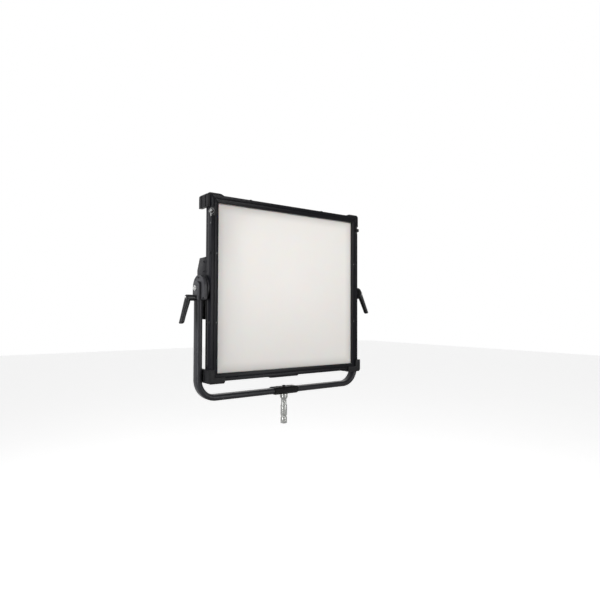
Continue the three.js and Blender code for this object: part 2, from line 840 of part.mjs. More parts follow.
/** Round chassis socket: flange on the panel, barrel through it and a blind round socket. */
function roundSocket(barrel, socket) {
  const back = -panelThickness - socketDepth;
  const front = gap + socketFlange;
  const plate = prismY(roundedRectangle(2 * barrel, 2 * barrel + 5, 3), gap, front, 2);
  const body = bar(barrel, back - socketFloor, gap + 1, alongY, 24);
  const hollow = bar(socket, back, front + 1, alongY, 24);
  return cut(join(plate, body), hollow);
}

function ethernetSocket() {
  const w = ethernetWidth / 2 - ethernetLap;
  const h = ethernetHeight / 2 - ethernetLap;
  const wall = ethernetWall;
  const back = -panelThickness - socketDepth;
  const front = gap + socketFlange;
  const lap = 2 * ethernetLap;
  const flange = prismY(roundedRectangle(ethernetWidth + lap, ethernetHeight + lap, 3), gap, front, 3);
  const body = box(-w, w, back - socketFloor, gap + 1, -h, h);
  const hollow = box(-w + wall, w - wall, back, front + 1, -h + wall, h - wall);
  return cut(join(flange, body), hollow);
}

function rocker() {
  const half = rockerHeight / 2 - 2 * gap;
  const keel = rockerDepth / 2;
  const shape = outline([
    [-keel, -half], [rockerEndProud, -half], [rockerMiddleProud, 0], [rockerEndProud, half], [-keel, half],
    [-rockerDepth, keel], [-rockerDepth, -keel],
  ]);
  const w = rockerWidth / 2 - runningGap;
  return prismX(shape, -w, w);
}

function carryHandle() {
  const start = depth(housingFront);
  const foot = start + handleFootThickness;
  const root = (start + foot) / 2;
  const half = handleSpan / 2;
  const reach = start + handleReach;
  const bend = handleBend;
  const v = (x, y) => new THREE.Vector3(x, y, handleRise);
  const straight = (from, to) => new THREE.LineCurve3(from, to);
  const curve = new THREE.CurvePath();
  curve.add(straight(v(-half, root), v(-half, reach - bend)));
  curve.add(new THREE.QuadraticBezierCurve3(v(-half, reach - bend), v(-half, reach), v(-half + bend, reach)));
  curve.add(straight(v(-half + bend, reach), v(half - bend, reach)));
  curve.add(new THREE.QuadraticBezierCurve3(v(half - bend, reach), v(half, reach), v(half, reach - bend)));
  curve.add(straight(v(half, reach - bend), v(half, root)));
  const section = new THREE.Shape();
  section.absarc(0, 0, handleRadius, 0, 2 * Math.PI);
  const grip = new THREE.ExtrudeGeometry(section, { extrudePath: curve, steps: 20, curveSegments: 5 });
  const [w, h] = handleFootHalf;
  const feet = [-half, half].map((x) => box(x - w, x + w, start, foot, handleRise - h, handleRise + h));
  return join(grip, ...feet);
}

function addControls(head) {
  add(head, 'control_panel', controlPanel(), look.plastic);
  add(head, 'display_window', displayWindow(), look.display);
  ['menu', 'dimmer'].forEach((name, i) => {
    add(head, `${name}_knob`, knob(), look.plastic).position.set(knobX[i], panelRearY, knobZ);
  });
  ['first', 'second', 'third'].forEach((name, i) => {
    add(head, `${name}_button`, button(), look.plastic).position.set(buttonX[i], panelRearY, buttonZ);
  });
  add(head, 'connector_panel', connectorPanel(), look.plastic);
  const z = -connectorDrop;
  const inlet = roundSocket(inletRadius, inletSocketRadius);
  add(head, 'power_inlet', inlet, look.plastic).position.set(connectorX.inlet, panelRearY, z);
  const input = roundSocket(dataRadius, dataSocketRadius);
  add(head, 'dmx_input', input, look.steel).position.set(connectorX.dmxInput, panelRearY, z);
  const output = roundSocket(dataRadius, dataSocketRadius);
  add(head, 'dmx_output', output, look.steel).position.set(connectorX.dmxOutput, panelRearY, z);
  add(head, 'ethernet_socket', ethernetSocket(), look.steel).position.set(connectorX.ethernet, panelRearY, z);
  const powerRocker = add(head, 'power_rocker', rocker(), look.plastic);
  powerRocker.position.set(connectorX.rocker, panelRearY, z);
  powerRocker.rotation.x = THREE.MathUtils.degToRad(-rockerOffAngle);
  add(head, 'carry_handle', carryHandle(), look.rubber);
}

// ---------------------------------------------------------------- bumpers, pad, accessory locks

/** Corner bumper for one corner: side is -1 left or 1 right, end is -1 bottom or 1 top. */
function bumper(side, end) {
  const front = depth(end > 0 ? upperBumperFront : lowerBumperFront);
  const rear = depth(frameDepth + (end > 0 ? upperBumperTail : lowerBumperTail));
  const slope = end > 0 ? upperLegSlope : lowerLegSlope;
  const outX = outerHalfX + bumperSideProud;
  const outZ = outerHalfZ + bumperEndProud;
  const inX = outerHalfX - bumperLegEnd;
  const inZ = outerHalfZ - bumperLegSide;
  const r = bumperRadius;
  const shape = new THREE.Shape();
  shape.moveTo(inX, inZ);
  shape.lineTo(outX, inZ);
  shape.lineTo(outX, outZ - r);
  shape.absarc(outX - r, outZ - r, r, 0, Math.PI / 2);
  shape.lineTo(inX + slope, outZ);
  shape.lineTo(inX, outerHalfZ + bumperLegTip);
  const block = prismY(shape, front, rear, 4);
  const frameEnd = depth(coverFront + coverPlate + gap);
  const hollow = (x, y0, y1, z) => box(inX - 1, x, y0, y1, inZ - 1, z);
  const tools = [hollow(outerHalfX + gap, depth(-gap), frameEnd, outerHalfZ + gap)];
  if (end < 0) {
    tools.push(hollow(outerHalfX - bezelGrooveOffset, front - 1, frameEnd, outerHalfZ - bezelGrooveOffset));
  }
  tools.push(hollow(outerHalfX - bumperRearWall, frameEnd - 1, rear + 1, outerHalfZ - bumperRearWall));
  for (const middle of ribGrooves) {
    const y0 = depth(frameDepth + middle - ribGrooveWidth / 2);
    const y1 = depth(frameDepth + middle + ribGrooveWidth / 2);
    tools.push(box(outX - ribGrooveDepth, outX + 1, y0, y1, inZ - 1, outZ + 1));
    tools.push(box(inX - 1, outX + 1, y0, y1, outZ - ribGrooveDepth, outZ + 1));
  }
  return mirrored(cut(block, ...tools), new THREE.Vector3(side, 1, end));
}

/** Scale by plus or minus one along each axis, keeping the faces outward. */
function mirrored(geometry, flip) {
  const copy = fromSolid(toSolid(geometry)).scale(flip.x, flip.y, flip.z);
  if (flip.x * flip.y * flip.z < 0) {
    copy.index.array.reverse();
  }
  copy.computeVertexNormals();
  return copy;
}

function lockBase() {
  const plugHalf = lockFlat / Math.SQRT2 - frameWall * Math.SQRT2 - 2 * gap;
  const deep = lockStemLength - gap;
  const halfHeight = lockNotchHeight / 2 - 1;
  const plug = box(-plugHalf, plugHalf, -halfHeight, halfHeight, -deep, -gap);
  const collar = turned([
    [0, -2], [plugHalf, -2], [plugHalf, gap], [lockBaseRadius, gap], [lockBaseRadius, 1.8],
    [lockKnobRadius + 0.5, lockCollar], [0, lockCollar],
  ], alongZ, 28);
  const hole = bar(lockStemRadius + gap, -deep - 1, lockCollar + 1, alongZ, 16);
  return cut(join(plug, collar), hole);
}

function lockKnob() {
  const low = lockCollar + gap;
  const profile = [
    [0, -lockStemLength], [lockStemRadius, -lockStemLength], [lockStemRadius, low],
    [lockKnobRadius, low], [lockKnobRadius, low + 3.2],
    [lockTipRadius + 0.6, low + 8], [lockTipRadius, low + 10.4],
    [lockTipRadius - 2.2, low + 12], [0, low + 12.4],
  ];
  return turned(profile, alongZ, 24);
}

function addTrim(head) {
  for (const [level, end] of [['upper', 1], ['lower', -1]]) {
    add(head, `corner_bumper_${level}_left`, bumper(-1, end), look.rubber);
    add(head, `corner_bumper_${level}_right`, bumper(1, end), look.rubber);
  }
  add(head, 'bottom_pad', prismX(padSection(), -padLength / 2, padLength / 2, 3), look.rubber);
  for (const [name, side] of [['left', -1], ['right', 1]]) {
    const lock = new THREE.Group();
    lock.position.set(side * (outerHalfX - lockFlat / 2), depth(lockFlat / 2), lockHeight);
    const across = new THREE.Vector3(1, side, 0).normalize();
    const outward = new THREE.Vector3(side, -1, 0).normalize();
    lock.quaternion.setFromRotationMatrix(new THREE.Matrix4().makeBasis(across, alongZ, outward));
    add(lock, `accessory_lock_base_${name}`, lockBase(), look.plastic);
    add(lock, `accessory_lock_knob_${name}`, lockKnob(), look.steel);
    head.add(lock);
  }
}

/** Section of the pad behind the frame's bottom edge, in Y and Z. */
function padSection() {
  const y0 = depth(coverFront + coverPlate + gap);
  const y1 = y0 + padDepth;
  const bottom = -outerHalfZ - padProud;
  const top = -outerHalfZ + coverMarginZ - 5;
  const r = padRadius;
  const shape = new THREE.Shape();
  shape.moveTo(y0 + r, bottom);
  shape.lineTo(y1 - r, bottom);
  shape.absarc(y1 - r, bottom + r, r, -Math.PI / 2, 0);
  shape.lineTo(y1, -outerHalfZ + 8);
  shape.lineTo(y0 + 10, top);
  shape.lineTo(y0, top);
  shape.lineTo(y0, bottom + r);
  shape.absarc(y0 + r, bottom + r, r, Math.PI, 1.5 * Math.PI);
  return shape;
}

// ---------------------------------------------------------------- tilt pivot

/** Direction away from the middle on the left (-1) or the right (1). */
function outwardAt(side) {
  return new THREE.Vector3(side, 0, 0);
}

function sideBracket(side) {
  const front = depth(coverFront + coverPlate + gap);
  const h = bracketHalfHeight;
  const shape = outline([
    [front, -h], [bracketEndReach, -h + bracketEndSlope], [bracketReach, -h + bracketShoulder],
    [bracketReach, h - bracketShoulder], [bracketEndReach, h - bracketEndSlope], [front, h],
  ]);
  const outer = side * outerHalfX;
  const inner = side * (outerHalfX - bracketThickness);
  const plate = prismX(shape, inner, outer);
  const foot = side * (outerHalfX - bracketFoot);
  const flange = box(foot, inner + side, front, front + bracketFlange, -h, h);
  const start = front + bracketFlange - 1;
  const tip = bracketEndReach - bracketFlange;
  const rib = outline([[foot, start], [inner + side, start], [inner + side, tip]]);
  const ribs = bracketRibs.map((z) => prismZ(rib, z - bracketRib / 2, z + bracketRib / 2));
  const hole = bar(boltRadius + gap, outerHalfX - bracketFoot, outerHalfX + 1, outwardAt(side));
  return cut(join(plate, flange, ...ribs), hole);
}

function pivotDrum(side) {
  const start = outerHalfX + gap;
  const profile = [
    [boltRadius + gap, start], [drumRadius, start], [drumRadius, start + drumThickness - 1.5],
    [drumRadius - 1.5, start + drumThickness], [boltRadius + gap, start + drumThickness],
    [boltRadius + gap, start],
  ];
  return turned(profile, outwardAt(side), 36);
}

function frictionDisc(side) {
  const start = outerHalfX + gap + drumThickness + gap;
  const radius = drumRadius - 4;
  const end = start + brakeThickness;
  const profile = [
    [boltRadius + gap, start], [radius, start], [radius, end], [boltRadius + gap, end],
    [boltRadius + gap, start],
  ];
  return turned(profile, outwardAt(side), 28);
}

/** Upright plate with a half-round top about the tilt axis, as an outline in Y and Z. */
function roundTopped(radius, bottom) {
  const shape = new THREE.Shape();
  shape.moveTo(-radius, bottom);
  shape.lineTo(radius, bottom);
  shape.lineTo(radius, 0);
  shape.absarc(0, 0, radius, 0, Math.PI);
  return shape;
}

/** Boss that carries on the arm tube's section up past the tilt axis. */
function fittingBoss(side) {
  const w = tubeWide / 2 + bossLip;
  const corner = bossCorner;
  const shape = new THREE.Shape();
  shape.moveTo(-w, -fittingBottom);
  shape.lineTo(w, -fittingBottom);
  shape.lineTo(w, bossTop - corner);
  shape.absarc(w - corner, bossTop - corner, corner, 0, Math.PI / 2);
  shape.absarc(-w + corner, bossTop - corner, corner, Math.PI / 2, Math.PI);
  const upright = prismX(shape, side * armInner, side * armOuter, 3);
  const section = roundedRectangle(2 * tubeThin, 2 * w, bossEdge, side * (armOuter - tubeThin), 0);
  return common(upright, prismZ(section, -fittingBottom - 1, bossTop + 1, 3));
}

/** Casting that carries the pivot: round-topped plate, boss and a plug that fits into the arm tube. */
function yokeFitting(side, radius, leverDrop) {
  const face = armInner + fittingPlate;
  const plate = prismX(roundTopped(radius, -fittingBottom), side * armInner, side * face, 10);
  const inner = roundTopped(radius - fittingRim, fittingRim - fittingBottom);
  const pocket = prismX(inner, side * (face - fittingPocket), side * (face + 1), 10);
  const through = (r) => bar(r + gap, armInner - 1, armOuter + 1, outwardAt(side));
  const tools = [through(boltRadius)];
  if (leverDrop > 0) {
    tools.push(through(leverStudRadius).translate(0, 0, -leverDrop));
  }
  return cut(join(cut(plate, pocket), fittingBoss(side), armPlug(side)), ...tools);
}

function armPlug(side) {
  const thin = tubeThin - 2 * tubeWall - 2 * gap;
  const wide = tubeWide - 2 * tubeWall - 2 * gap;
  const shape = roundedRectangle(thin, wide, ovalRadius(thin), side * armX, 0);
  return prismZ(shape, -fittingBottom - plugLength, -fittingBottom + 2, 2);
}

function addPivots(head, yoke) {
  for (const [name, side] of [['left', -1], ['right', 1]]) {
    add(head, `side_bracket_${name}`, sideBracket(side), look.casting);
    add(head, `pivot_drum_${name}`, pivotDrum(side), look.casting);
    add(head, `friction_disc_${name}`, frictionDisc(side), look.brake);
  }
  const leftFitting = yokeFitting(-1, leftFittingRadius, leftLeverDrop);
  const rightFitting = yokeFitting(1, rightFittingRadius, 0);
  add(yoke, 'yoke_fitting_left', leftFitting, look.casting).position.z = pivotHeight;
  add(yoke, 'yoke_fitting_right', rightFitting, look.casting).position.z = pivotHeight;
  const inner = outerHalfX - bracketThickness - 4;
  const headStart = armOuter + gap;
  const profile = [
    [0, inner], [boltRadius, inner], [boltRadius, headStart], [boltHeadRadius, headStart],
    [boltHeadRadius, headStart + boltHeadHeight - 2], [boltHeadRadius - 2.5, headStart + boltHeadHeight],
    [0, headStart + boltHeadHeight],
  ];
  add(head, 'pivot_bolt_left', turned(profile, outwardAt(-1)), look.steel);
}

// ---------------------------------------------------------------- yoke, clamp and spigot

/** Centre line of the yoke: down one arm, round two bends and up the other. */
function yokeCurve() {
  const top = pivotHeight - fittingBottom - gap;
  const v = (x, z) => new THREE.Vector3(x, 0, z);
  const curve = new THREE.CurvePath();
  const arc = (centreX, from, to) => {
    const steps = 9;
    const centre = v(centreX, barHeight + bendRadius);
    const at = (i) => {
      const angle = from + ((to - from) * i) / steps;
      return v(Math.cos(angle), Math.sin(angle)).multiplyScalar(bendRadius).add(centre);
    };
    for (let i = 0; i < steps; i += 1) {
      curve.add(new THREE.LineCurve3(at(i), at(i + 1)));
    }
  };
  curve.add(new THREE.LineCurve3(v(-armX, top), v(-armX, barHeight + bendRadius)));
  arc(-armX + bendRadius, Math.PI, 1.5 * Math.PI);
  curve.add(new THREE.LineCurve3(v(-armX + bendRadius, barHeight), v(armX - bendRadius, barHeight)));
  arc(armX - bendRadius, 1.5 * Math.PI, 2 * Math.PI);
  curve.add(new THREE.LineCurve3(v(armX, barHeight + bendRadius), v(armX, top)));
  return curve;
}

/** Rings of a flat oval along the yoke's centre line, one at each corner of the line. */
function yokeRings(thin, wide, overshoot) {
  const corners = yokeCurve().curves.map((line) => line.v1.clone());
  corners.push(yokeCurve().curves.at(-1).v2.clone());
  const section = roundedRectangle(thin, wide, ovalRadius(thin)).getPoints(2);
  section.pop();
  return corners.map((corner, i) => {
    const before = corners[Math.max(i - 1, 0)];
    const after = corners[Math.min(i + 1, corners.length - 1)];
    const ahead = after.clone().sub(before).normalize();
    const inward = new THREE.Vector3(-ahead.z, 0, ahead.x);
    const beyond = [0, corners.length - 1].includes(i) ? overshoot * (i > 0 ? 1 : -1) : 0;
    const centre = corner.clone().addScaledVector(ahead, beyond);
    return section.map((p) => centre.clone().addScaledVector(inward, p.x).add(new THREE.Vector3(0, p.y, 0)));
  });
}

function yokeTube() {
  const skin = loft(yokeRings(tubeThin, tubeWide, 0));
  const bore = loft(yokeRings(tubeThin - 2 * tubeWall, tubeWide - 2 * tubeWall, 1));
  const boltHole = bar(spigotBoltRadius + gap, barHeight - tubeThin, barHeight + tubeThin, alongZ, 16);
  return cut(skin, bore, boltHole);
}

/** Outline of a block with its two upper corners cut, from the split line up. */
function bevelledOutline(half, top, across, down) {
  return outline([
    [-half, gap / 2], [half, gap / 2], [half, top - down], [half - across, top],
    [-half + across, top], [-half, top - down],
  ]);
}

/** One half of the clamp that holds the spigot on the bar; end is -1 below or 1 above. */
function clampHalf(end, bevel) {
  const top = tubeThin / 2 + clampWall;
  const halfWidth = tubeWide / 2 + clampWall;
  const half = clampLength / 2;
  const along = prismY(bevelledOutline(half, top, clampEndSlope, clampWall), -halfWidth, halfWidth);
  const across = prismX(bevelledOutline(halfWidth, top, bevel, bevel), -half, half);
  const pocketShape = roundedRectangle(tubeWide + 2 * gap, tubeThin + 2 * gap, tubeThin / 2);
  const pocket = prismX(pocketShape, -half - 1, half + 1, 2);
  const hole = bar(spigotBoltRadius + gap, -1, top + 1, alongZ, 16);
  const upper = cut(common(along, across), pocket, hole);
  return mirrored(upper, new THREE.Vector3(1, 1, end)).translate(0, 0, barHeight);
}

function spigotBody() {
  const s = spigotProfile;
  const profile = [
    [0, 0], [spigotRadius - s.chamfer, 0], [spigotRadius, s.chamfer], [spigotRadius, s.endTop],
    [s.grooveRadius, s.endTop + 3], [s.grooveRadius, s.grooveTop - 3], [spigotRadius, s.grooveTop],
    [spigotRadius, s.bodyTop], [s.neckRadius, s.bodyTop + 2], [s.neckRadius, s.neckTop],
    [s.collarRadius, s.taperTop], [s.collarRadius, s.collarTop], [0, s.collarTop],
  ];
  const hole = bar(spigotBoltRadius + gap, s.neckTop - spigotBoltThread - 2, s.collarTop + 1, alongZ, 16);
  return cut(turned(profile, alongZ, 28), hole);
}

function addYoke(yoke) {
  add(yoke, 'yoke_tube', yokeTube(), look.yoke);
  add(yoke, 'spigot_clamp_upper', clampHalf(1, upperClampBevel), look.casting);
  add(yoke, 'spigot_clamp_lower', clampHalf(-1, lowerClampBevel), look.casting);
  add(yoke, 'spigot', spigotBody(), look.aluminium);
  const top = barHeight + tubeThin / 2 + clampWall + gap;
  const start = spigotProfile.neckTop - spigotBoltThread;
  const profile = [
    [0, start], [spigotBoltRadius, start], [spigotBoltRadius, top], [spigotBoltHead, top],
    [spigotBoltHead, top + spigotBoltHeadHeight - 1], [spigotBoltHead - 1, top + spigotBoltHeadHeight],
    [0, top + spigotBoltHeadHeight],
  ];
  add(yoke, 'spigot_bolt', turned(profile, alongZ), look.steel);
}

// ---------------------------------------------------------------- clamping levers

/** Stud of a clamping lever, along +X from the fitting outward, with a washer of this height or none. */
function leverStud(inward, washer) {
  const head = leverSocketRadius - runningGap;
  const base = Math.max(washer, gap);
  const profile = [[0, -inward], [leverStudRadius, -inward], [leverStudRadius, gap]];
  if (washer > 0) {
    const edge = leverFlareRadius;
    profile.push([edge - 1, gap], [edge, 1 + gap], [edge, base - 1], [edge - 1, base]);
  }
  profile.push([head, base], [head, base + leverThread], [0, base + leverThread]);
  return turned(profile, alongX, 24);
}

/**
 * Handle with a hub of this length along +X from its inner face. The grip hangs from the hub's end,
 * turned towards the front by this many degrees.
 */
function leverHandle(footRadius, length, turn) {
  const radius = leverHubRadius;
  const hub = turned([
    [0, 0], [footRadius - 1, 0], [footRadius, 1], [footRadius, 5], [radius, length - 6],
    [radius - 2, length - 2], [radius - 6, length], [0, length],
  ], alongX, 24);
  const lean = THREE.MathUtils.degToRad(leverLean);
  const forward = THREE.MathUtils.degToRad(turn);
  const along = new THREE.Vector3(Math.sin(lean), -Math.sin(forward), -Math.cos(lean)).normalize();
  const sideways = new THREE.Vector3().crossVectors(along, alongX).normalize();
  const across = new THREE.Vector3().crossVectors(along, sideways).normalize();
  const outerEdge = new THREE.Vector3(length, 0, 0);
  const inward = across.clone().multiplyScalar(-Math.sign(across.x));
  const rings = leverStations.map(({ share, wide, thin }) => {
    const centre = outerEdge.clone().addScaledVector(along, share * leverLength);
    centre.addScaledVector(inward, leverStations[0].thin / 2 - (leverStations[0].thin - thin) / 2);
    return oval(centre, sideways, across, wide, thin);
  });
  const socket = bar(leverSocketRadius, -1, leverThread + 2, alongX, 24);
  return cut(join(hub, loft(rings)), socket);
}

function addLevers(yoke) {
  const across = armOuter - outerHalfX + bracketThickness;
  const settings = [
    {
      name: 'left', side: -1, drop: leftLeverDrop, inward: tubeThin - 2, washer: 0, foot: leverHubRadius,
      turn: leftLeverForward,
    },
    {
      name: 'right', side: 1, drop: 0, inward: across, washer: leverWasherHeight, foot: leverFlareRadius,
      turn: rightLeverForward,
    },
  ];
  for (const { name, side, drop, inward, washer, foot, turn } of settings) {
    const lever = new THREE.Group();
    lever.position.set(side * armOuter, 0, pivotHeight - drop);
    const flip = new THREE.Vector3(side, 1, 1);
    add(lever, `${name}_lever_stud`, mirrored(leverStud(inward, washer), flip), look.steel);
    const handle = leverHandle(foot, leverHubLength - washer, turn).translate(washer + 2 * gap, 0, 0);
    add(lever, `${name}_lever_handle`, mirrored(handle, flip), look.plastic);
    yoke.add(lever);
  }
}

// ---------------------------------------------------------------- assembly

const light = new THREE.Group();
const yoke = new THREE.Group();
const head = new THREE.Group();
head.position.z = pivotHeight;
light.add(yoke, head);

addYoke(yoke);
addFrame(head);
addOptics(head);
addRear(head);
addControls(head);
addTrim(head);
addPivots(head, yoke);
addLevers(yoke);

export default light;
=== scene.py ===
"""Looks of a square LED soft panel on a U-shaped tube yoke.

Metres, +Z up. The light shines towards -Y, and its tilt axis runs along X above the origin, which is
the middle of the spigot's end face.
"""

import json
import math

import bmesh
import bpy
from mathutils import Matrix, Vector


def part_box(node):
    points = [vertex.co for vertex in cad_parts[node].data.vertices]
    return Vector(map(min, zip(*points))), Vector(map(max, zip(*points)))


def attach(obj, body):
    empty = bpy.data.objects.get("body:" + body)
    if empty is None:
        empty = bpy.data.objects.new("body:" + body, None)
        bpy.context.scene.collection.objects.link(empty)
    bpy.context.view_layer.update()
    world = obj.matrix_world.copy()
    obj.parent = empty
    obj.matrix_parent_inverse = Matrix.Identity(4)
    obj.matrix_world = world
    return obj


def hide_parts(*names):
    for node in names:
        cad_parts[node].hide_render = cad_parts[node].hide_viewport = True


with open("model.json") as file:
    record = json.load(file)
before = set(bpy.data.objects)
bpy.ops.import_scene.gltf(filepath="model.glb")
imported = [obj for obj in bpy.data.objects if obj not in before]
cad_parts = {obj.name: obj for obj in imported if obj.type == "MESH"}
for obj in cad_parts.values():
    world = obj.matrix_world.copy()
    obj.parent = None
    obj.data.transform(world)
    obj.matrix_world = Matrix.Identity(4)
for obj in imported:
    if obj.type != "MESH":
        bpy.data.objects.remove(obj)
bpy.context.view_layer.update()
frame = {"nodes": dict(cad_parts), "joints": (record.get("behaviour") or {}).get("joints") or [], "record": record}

MM = 0.001
X_AXIS = Vector((1, 0, 0))
Y_AXIS = Vector((0, 1, 0))
Z_AXIS = Vector((0, 0, 1))
SIDES = {"left": -1, "right": 1}

record = frame["record"]
BODY = {node: body for body, nodes in record["behaviour"]["bodies"].items() for node in nodes}
JOINTS = {joint["name"]: joint for joint in frame["joints"]}
PIVOT_Z = JOINTS["head_tilt"]["pos_m"][2]


# ------------------------------------------------------------------ places taken from the frame

def middle(node):
    low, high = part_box(node)
    return (low + high) / 2


def size(node):
    low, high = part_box(node)
    return high - low


FRAME_HALF_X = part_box("frame_right_rail")[1].x
FRAME_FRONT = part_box("frame_top_rail")[0].y
FRAME_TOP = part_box("frame_top_rail")[1].z
FRAME_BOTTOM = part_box("frame_bottom_rail")[0].z
BEZEL = size("frame_top_rail").z
APERTURE_HALF_X = FRAME_HALF_X - BEZEL
APERTURE_HALF_Z = (FRAME_TOP - FRAME_BOTTOM) / 2 - BEZEL
PANEL_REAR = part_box("control_panel")[1].y
HOUSING_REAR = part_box("electronics_housing")[1].y
ARM_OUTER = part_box("yoke_tube")[1].x
COVER_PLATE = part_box("rear_cover")[0].y + 2.2 * MM


# ------------------------------------------------------------------ outlines and places

def rounded(points, radius, steps=4, closed=False):
    """A line through 2D points, with each corner turned into a curve."""
    corners = [Vector(p) for p in points]
    count = len(corners)
    line = []
    for i, corner in enumerate(corners):
        if not closed and i in (0, count - 1):
            line.append(corner)
            continue
        back = corners[i - 1] - corner
        ahead = corners[(i + 1) % count] - corner
        reach = min(radius, 0.48 * back.length, 0.48 * ahead.length)
        start = corner + back.normalized() * reach
        end = corner + ahead.normalized() * reach
        for k in range(steps + 1):
            t = k / steps
            line.append(start * (1 - t) ** 2 + corner * 2 * t * (1 - t) + end * t ** 2)
    return line


def rectangle(width, height, radius=0.0, steps=4):
    w, h = width / 2, height / 2
    corners = [(-w, -h), (w, -h), (w, h), (-w, h)]
    return rounded(corners, radius, steps, closed=True) if radius else [Vector(c) for c in corners]


def flat_oval(thin, wide, steps=10):
    """Outline of a flat oval, thin along its first axis and wide along its second."""
    r = thin / 2
    line = []
    for end in (1, -1):
        for k in range(steps + 1):
            angle = math.pi * k / steps + (0 if end > 0 else math.pi)
            line.append(Vector((r * math.cos(angle), end * (wide / 2 - r) + r * math.sin(angle))))
    return line


def framed(origin, across, outward):
    """Matrix with its local X along across and its local Z along outward."""
    z = Vector(outward).normalized()
    x = (Vector(across) - z * Vector(across).dot(z)).normalized()
    turn = Matrix((x, z.cross(x), z)).transposed().to_4x4()
    return Matrix.Translation(origin) @ turn


def facing(origin, outward):
    """Matrix whose local Z points outward, with local X level."""
    across = X_AXIS if abs(Vector(outward).dot(X_AXIS)) < 0.9 else Y_AXIS
    return framed(origin, across, outward)


# ------------------------------------------------------------------ forms, each added to a bmesh

def revolve(bm, profile, place, segments=64, radius_at=None):
    """Turned form about the local Z of place; the profile is (radius, height) from axis to axis."""
    rings = []
    for radius, height in profile:
        if radius < 1e-7:
            rings.append([bm.verts.new(place @ Vector((0, 0, height)))])
            continue
        ring = []
        for k in range(segments):
            angle = 2 * math.pi * k / segments
            r = radius_at(radius, height, angle) if radius_at else radius
            ring.append(bm.verts.new(place @ Vector((r * math.cos(angle), r * math.sin(angle), height))))
        rings.append(ring)
    for low, high in zip(rings, rings[1:]):
        for k in range(segments):
            n = (k + 1) % segments
            if len(low) == 1 and len(high) > 1:
                bm.faces.new((low[0], high[k], high[n]))
            elif len(high) == 1 and len(low) > 1:
                bm.faces.new((low[n], low[k], high[0]))
            elif len(low) > 1:
                bm.faces.new((low[k], low[n], high[n], high[k]))


def loft(bm, rings):
    """Closed skin through rings of points, with a flat face at each end."""
    made = [[bm.verts.new(p) for p in ring] for ring in rings]
    count = len(made[0])
    for low, high in zip(made, made[1:]):
        for k in range(count):
            n = (k + 1) % count
            bm.faces.new((low[k], low[n], high[n], high[k]))
    bm.faces.new(made[0])
    bm.faces.new(made[-1])


def prism(bm, outline, place, start, end):
    """Straight form whose outline lies in the local XY of place."""
    loft(bm, [[place @ Vector((p[0], p[1], h)) for p in outline] for h in (start, end)])


def sweep(bm, outline, path, across):
    """The outline carried along a path; its first axis lies square to the path and to across."""
    rings = []
    for i, point in enumerate(path):
        ahead = (path[min(i + 1, len(path) - 1)] - path[max(i - 1, 0)]).normalized()
        side = Vector(across).normalized()
        inward = ahead.cross(side).normalized()
        rings.append([point + inward * p[0] + side * p[1] for p in outline])
    loft(bm, rings)


def bend(centre, radius, start, end, axis_x, axis_y, steps):
    """Points on an arc from start to end, in degrees, in the plane of two axes."""
    points = []
    for k in range(steps + 1):
        angle = math.radians(start + (end - start) * k / steps)
        points.append(centre + axis_x * (radius * math.cos(angle)) + axis_y * (radius * math.sin(angle)))
    return points


def fluted(count, depth, lowest=-1.0):
    """Radius rule for grip flutes on the rim, from one height up."""
    def radius_at(radius, height, angle):
        if height < lowest:
            return radius
        return radius - depth * (0.5 - 0.5 * math.cos(count * angle))
    return radius_at


def socket_screw(bm, place, radius, height):
    """Low round head with a hexagonal recess."""
    recess = 0.52 * radius
    profile = rounded([
        (0, 0.35 * height), (recess, 0.35 * height), (recess, height), (radius, height), (radius, 0), (0, 0),
    ], 0.22 * radius, 3)

    def radius_at(r, h, angle):
        if r > recess * 1.02:
            return r
        corner = (angle + math.pi / 6) % (math.pi / 3) - math.pi / 6
        return r * math.cos(math.pi / 6) / math.cos(corner)

    revolve(bm, profile, place, 24, radius_at)


def dome_screw(bm, place, radius, height):
    """Pan head with a cross recess drawn by a dished centre."""
    profile = rounded([
        (0, 0.55 * height), (0.3 * radius, 0.6 * height), (0.42 * radius, height),
        (0.8 * radius, 0.9 * height), (radius, 0.3 * height), (radius, 0), (0, 0),
    ], 0.3 * radius, 3)
    revolve(bm, profile, place, 24)


# ------------------------------------------------------------------ objects

def object_from(bm, name, bevel=0.0, segments=2, sharp=35.0):
    """Object made of a bmesh, smooth where it bends gently, with its sharp edges rounded."""
    bmesh.ops.recalc_face_normals(bm, faces=bm.faces)
    mesh = bpy.data.meshes.new(name)
    bm.to_mesh(mesh)
    bm.free()
    mesh.polygons.foreach_set("use_smooth", [True] * len(mesh.polygons))
    obj = bpy.data.objects.new(name, mesh)
    bpy.context.scene.collection.objects.link(obj)
    if bevel:
        modifier = obj.modifiers.new("rounded_edges", "BEVEL")
        modifier.width = bevel
        modifier.segments = segments
        modifier.limit_method = "ANGLE"
        modifier.angle_limit = math.radians(sharp)
        modifier.harden_normals = True
    else:
        mesh.set_sharp_from_angle(angle=math.radians(sharp))
    return obj


def built(name, form, *args, bevel=0.0, segments=2, sharp=35.0):
    """Object from a function that adds to a bmesh."""
    bm = bmesh.new()
    form(bm, *args)
    return object_from(bm, name, bevel, segments, sharp)


def stands_for(obj, node, material):
    """The object takes the place of a CAD node, on the node's body."""
    obj.data.materials.append(material)
    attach(obj, BODY[node])
    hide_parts(node)
    return obj


def trim(obj, host, material):
    """Small part without a CAD node of its own, on the body of the node that it sits on."""
    obj.data.materials.append(material)
    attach(obj, BODY[host])
    return obj


def refined(node, material, bevel, segments=2, sharp=30.0):
    """Copy of a CAD node with its facets merged and its edges rounded."""
    bm = bmesh.new()
    bm.from_mesh(frame["nodes"][node].data)
    bmesh.ops.remove_doubles(bm, verts=bm.verts, dist=0.01 * MM)
    bmesh.ops.dissolve_limit(bm, angle_limit=math.radians(0.5), verts=bm.verts, edges=bm.edges)
    return stands_for(object_from(bm, f"{node}_shell", bevel, segments, sharp), node, material)


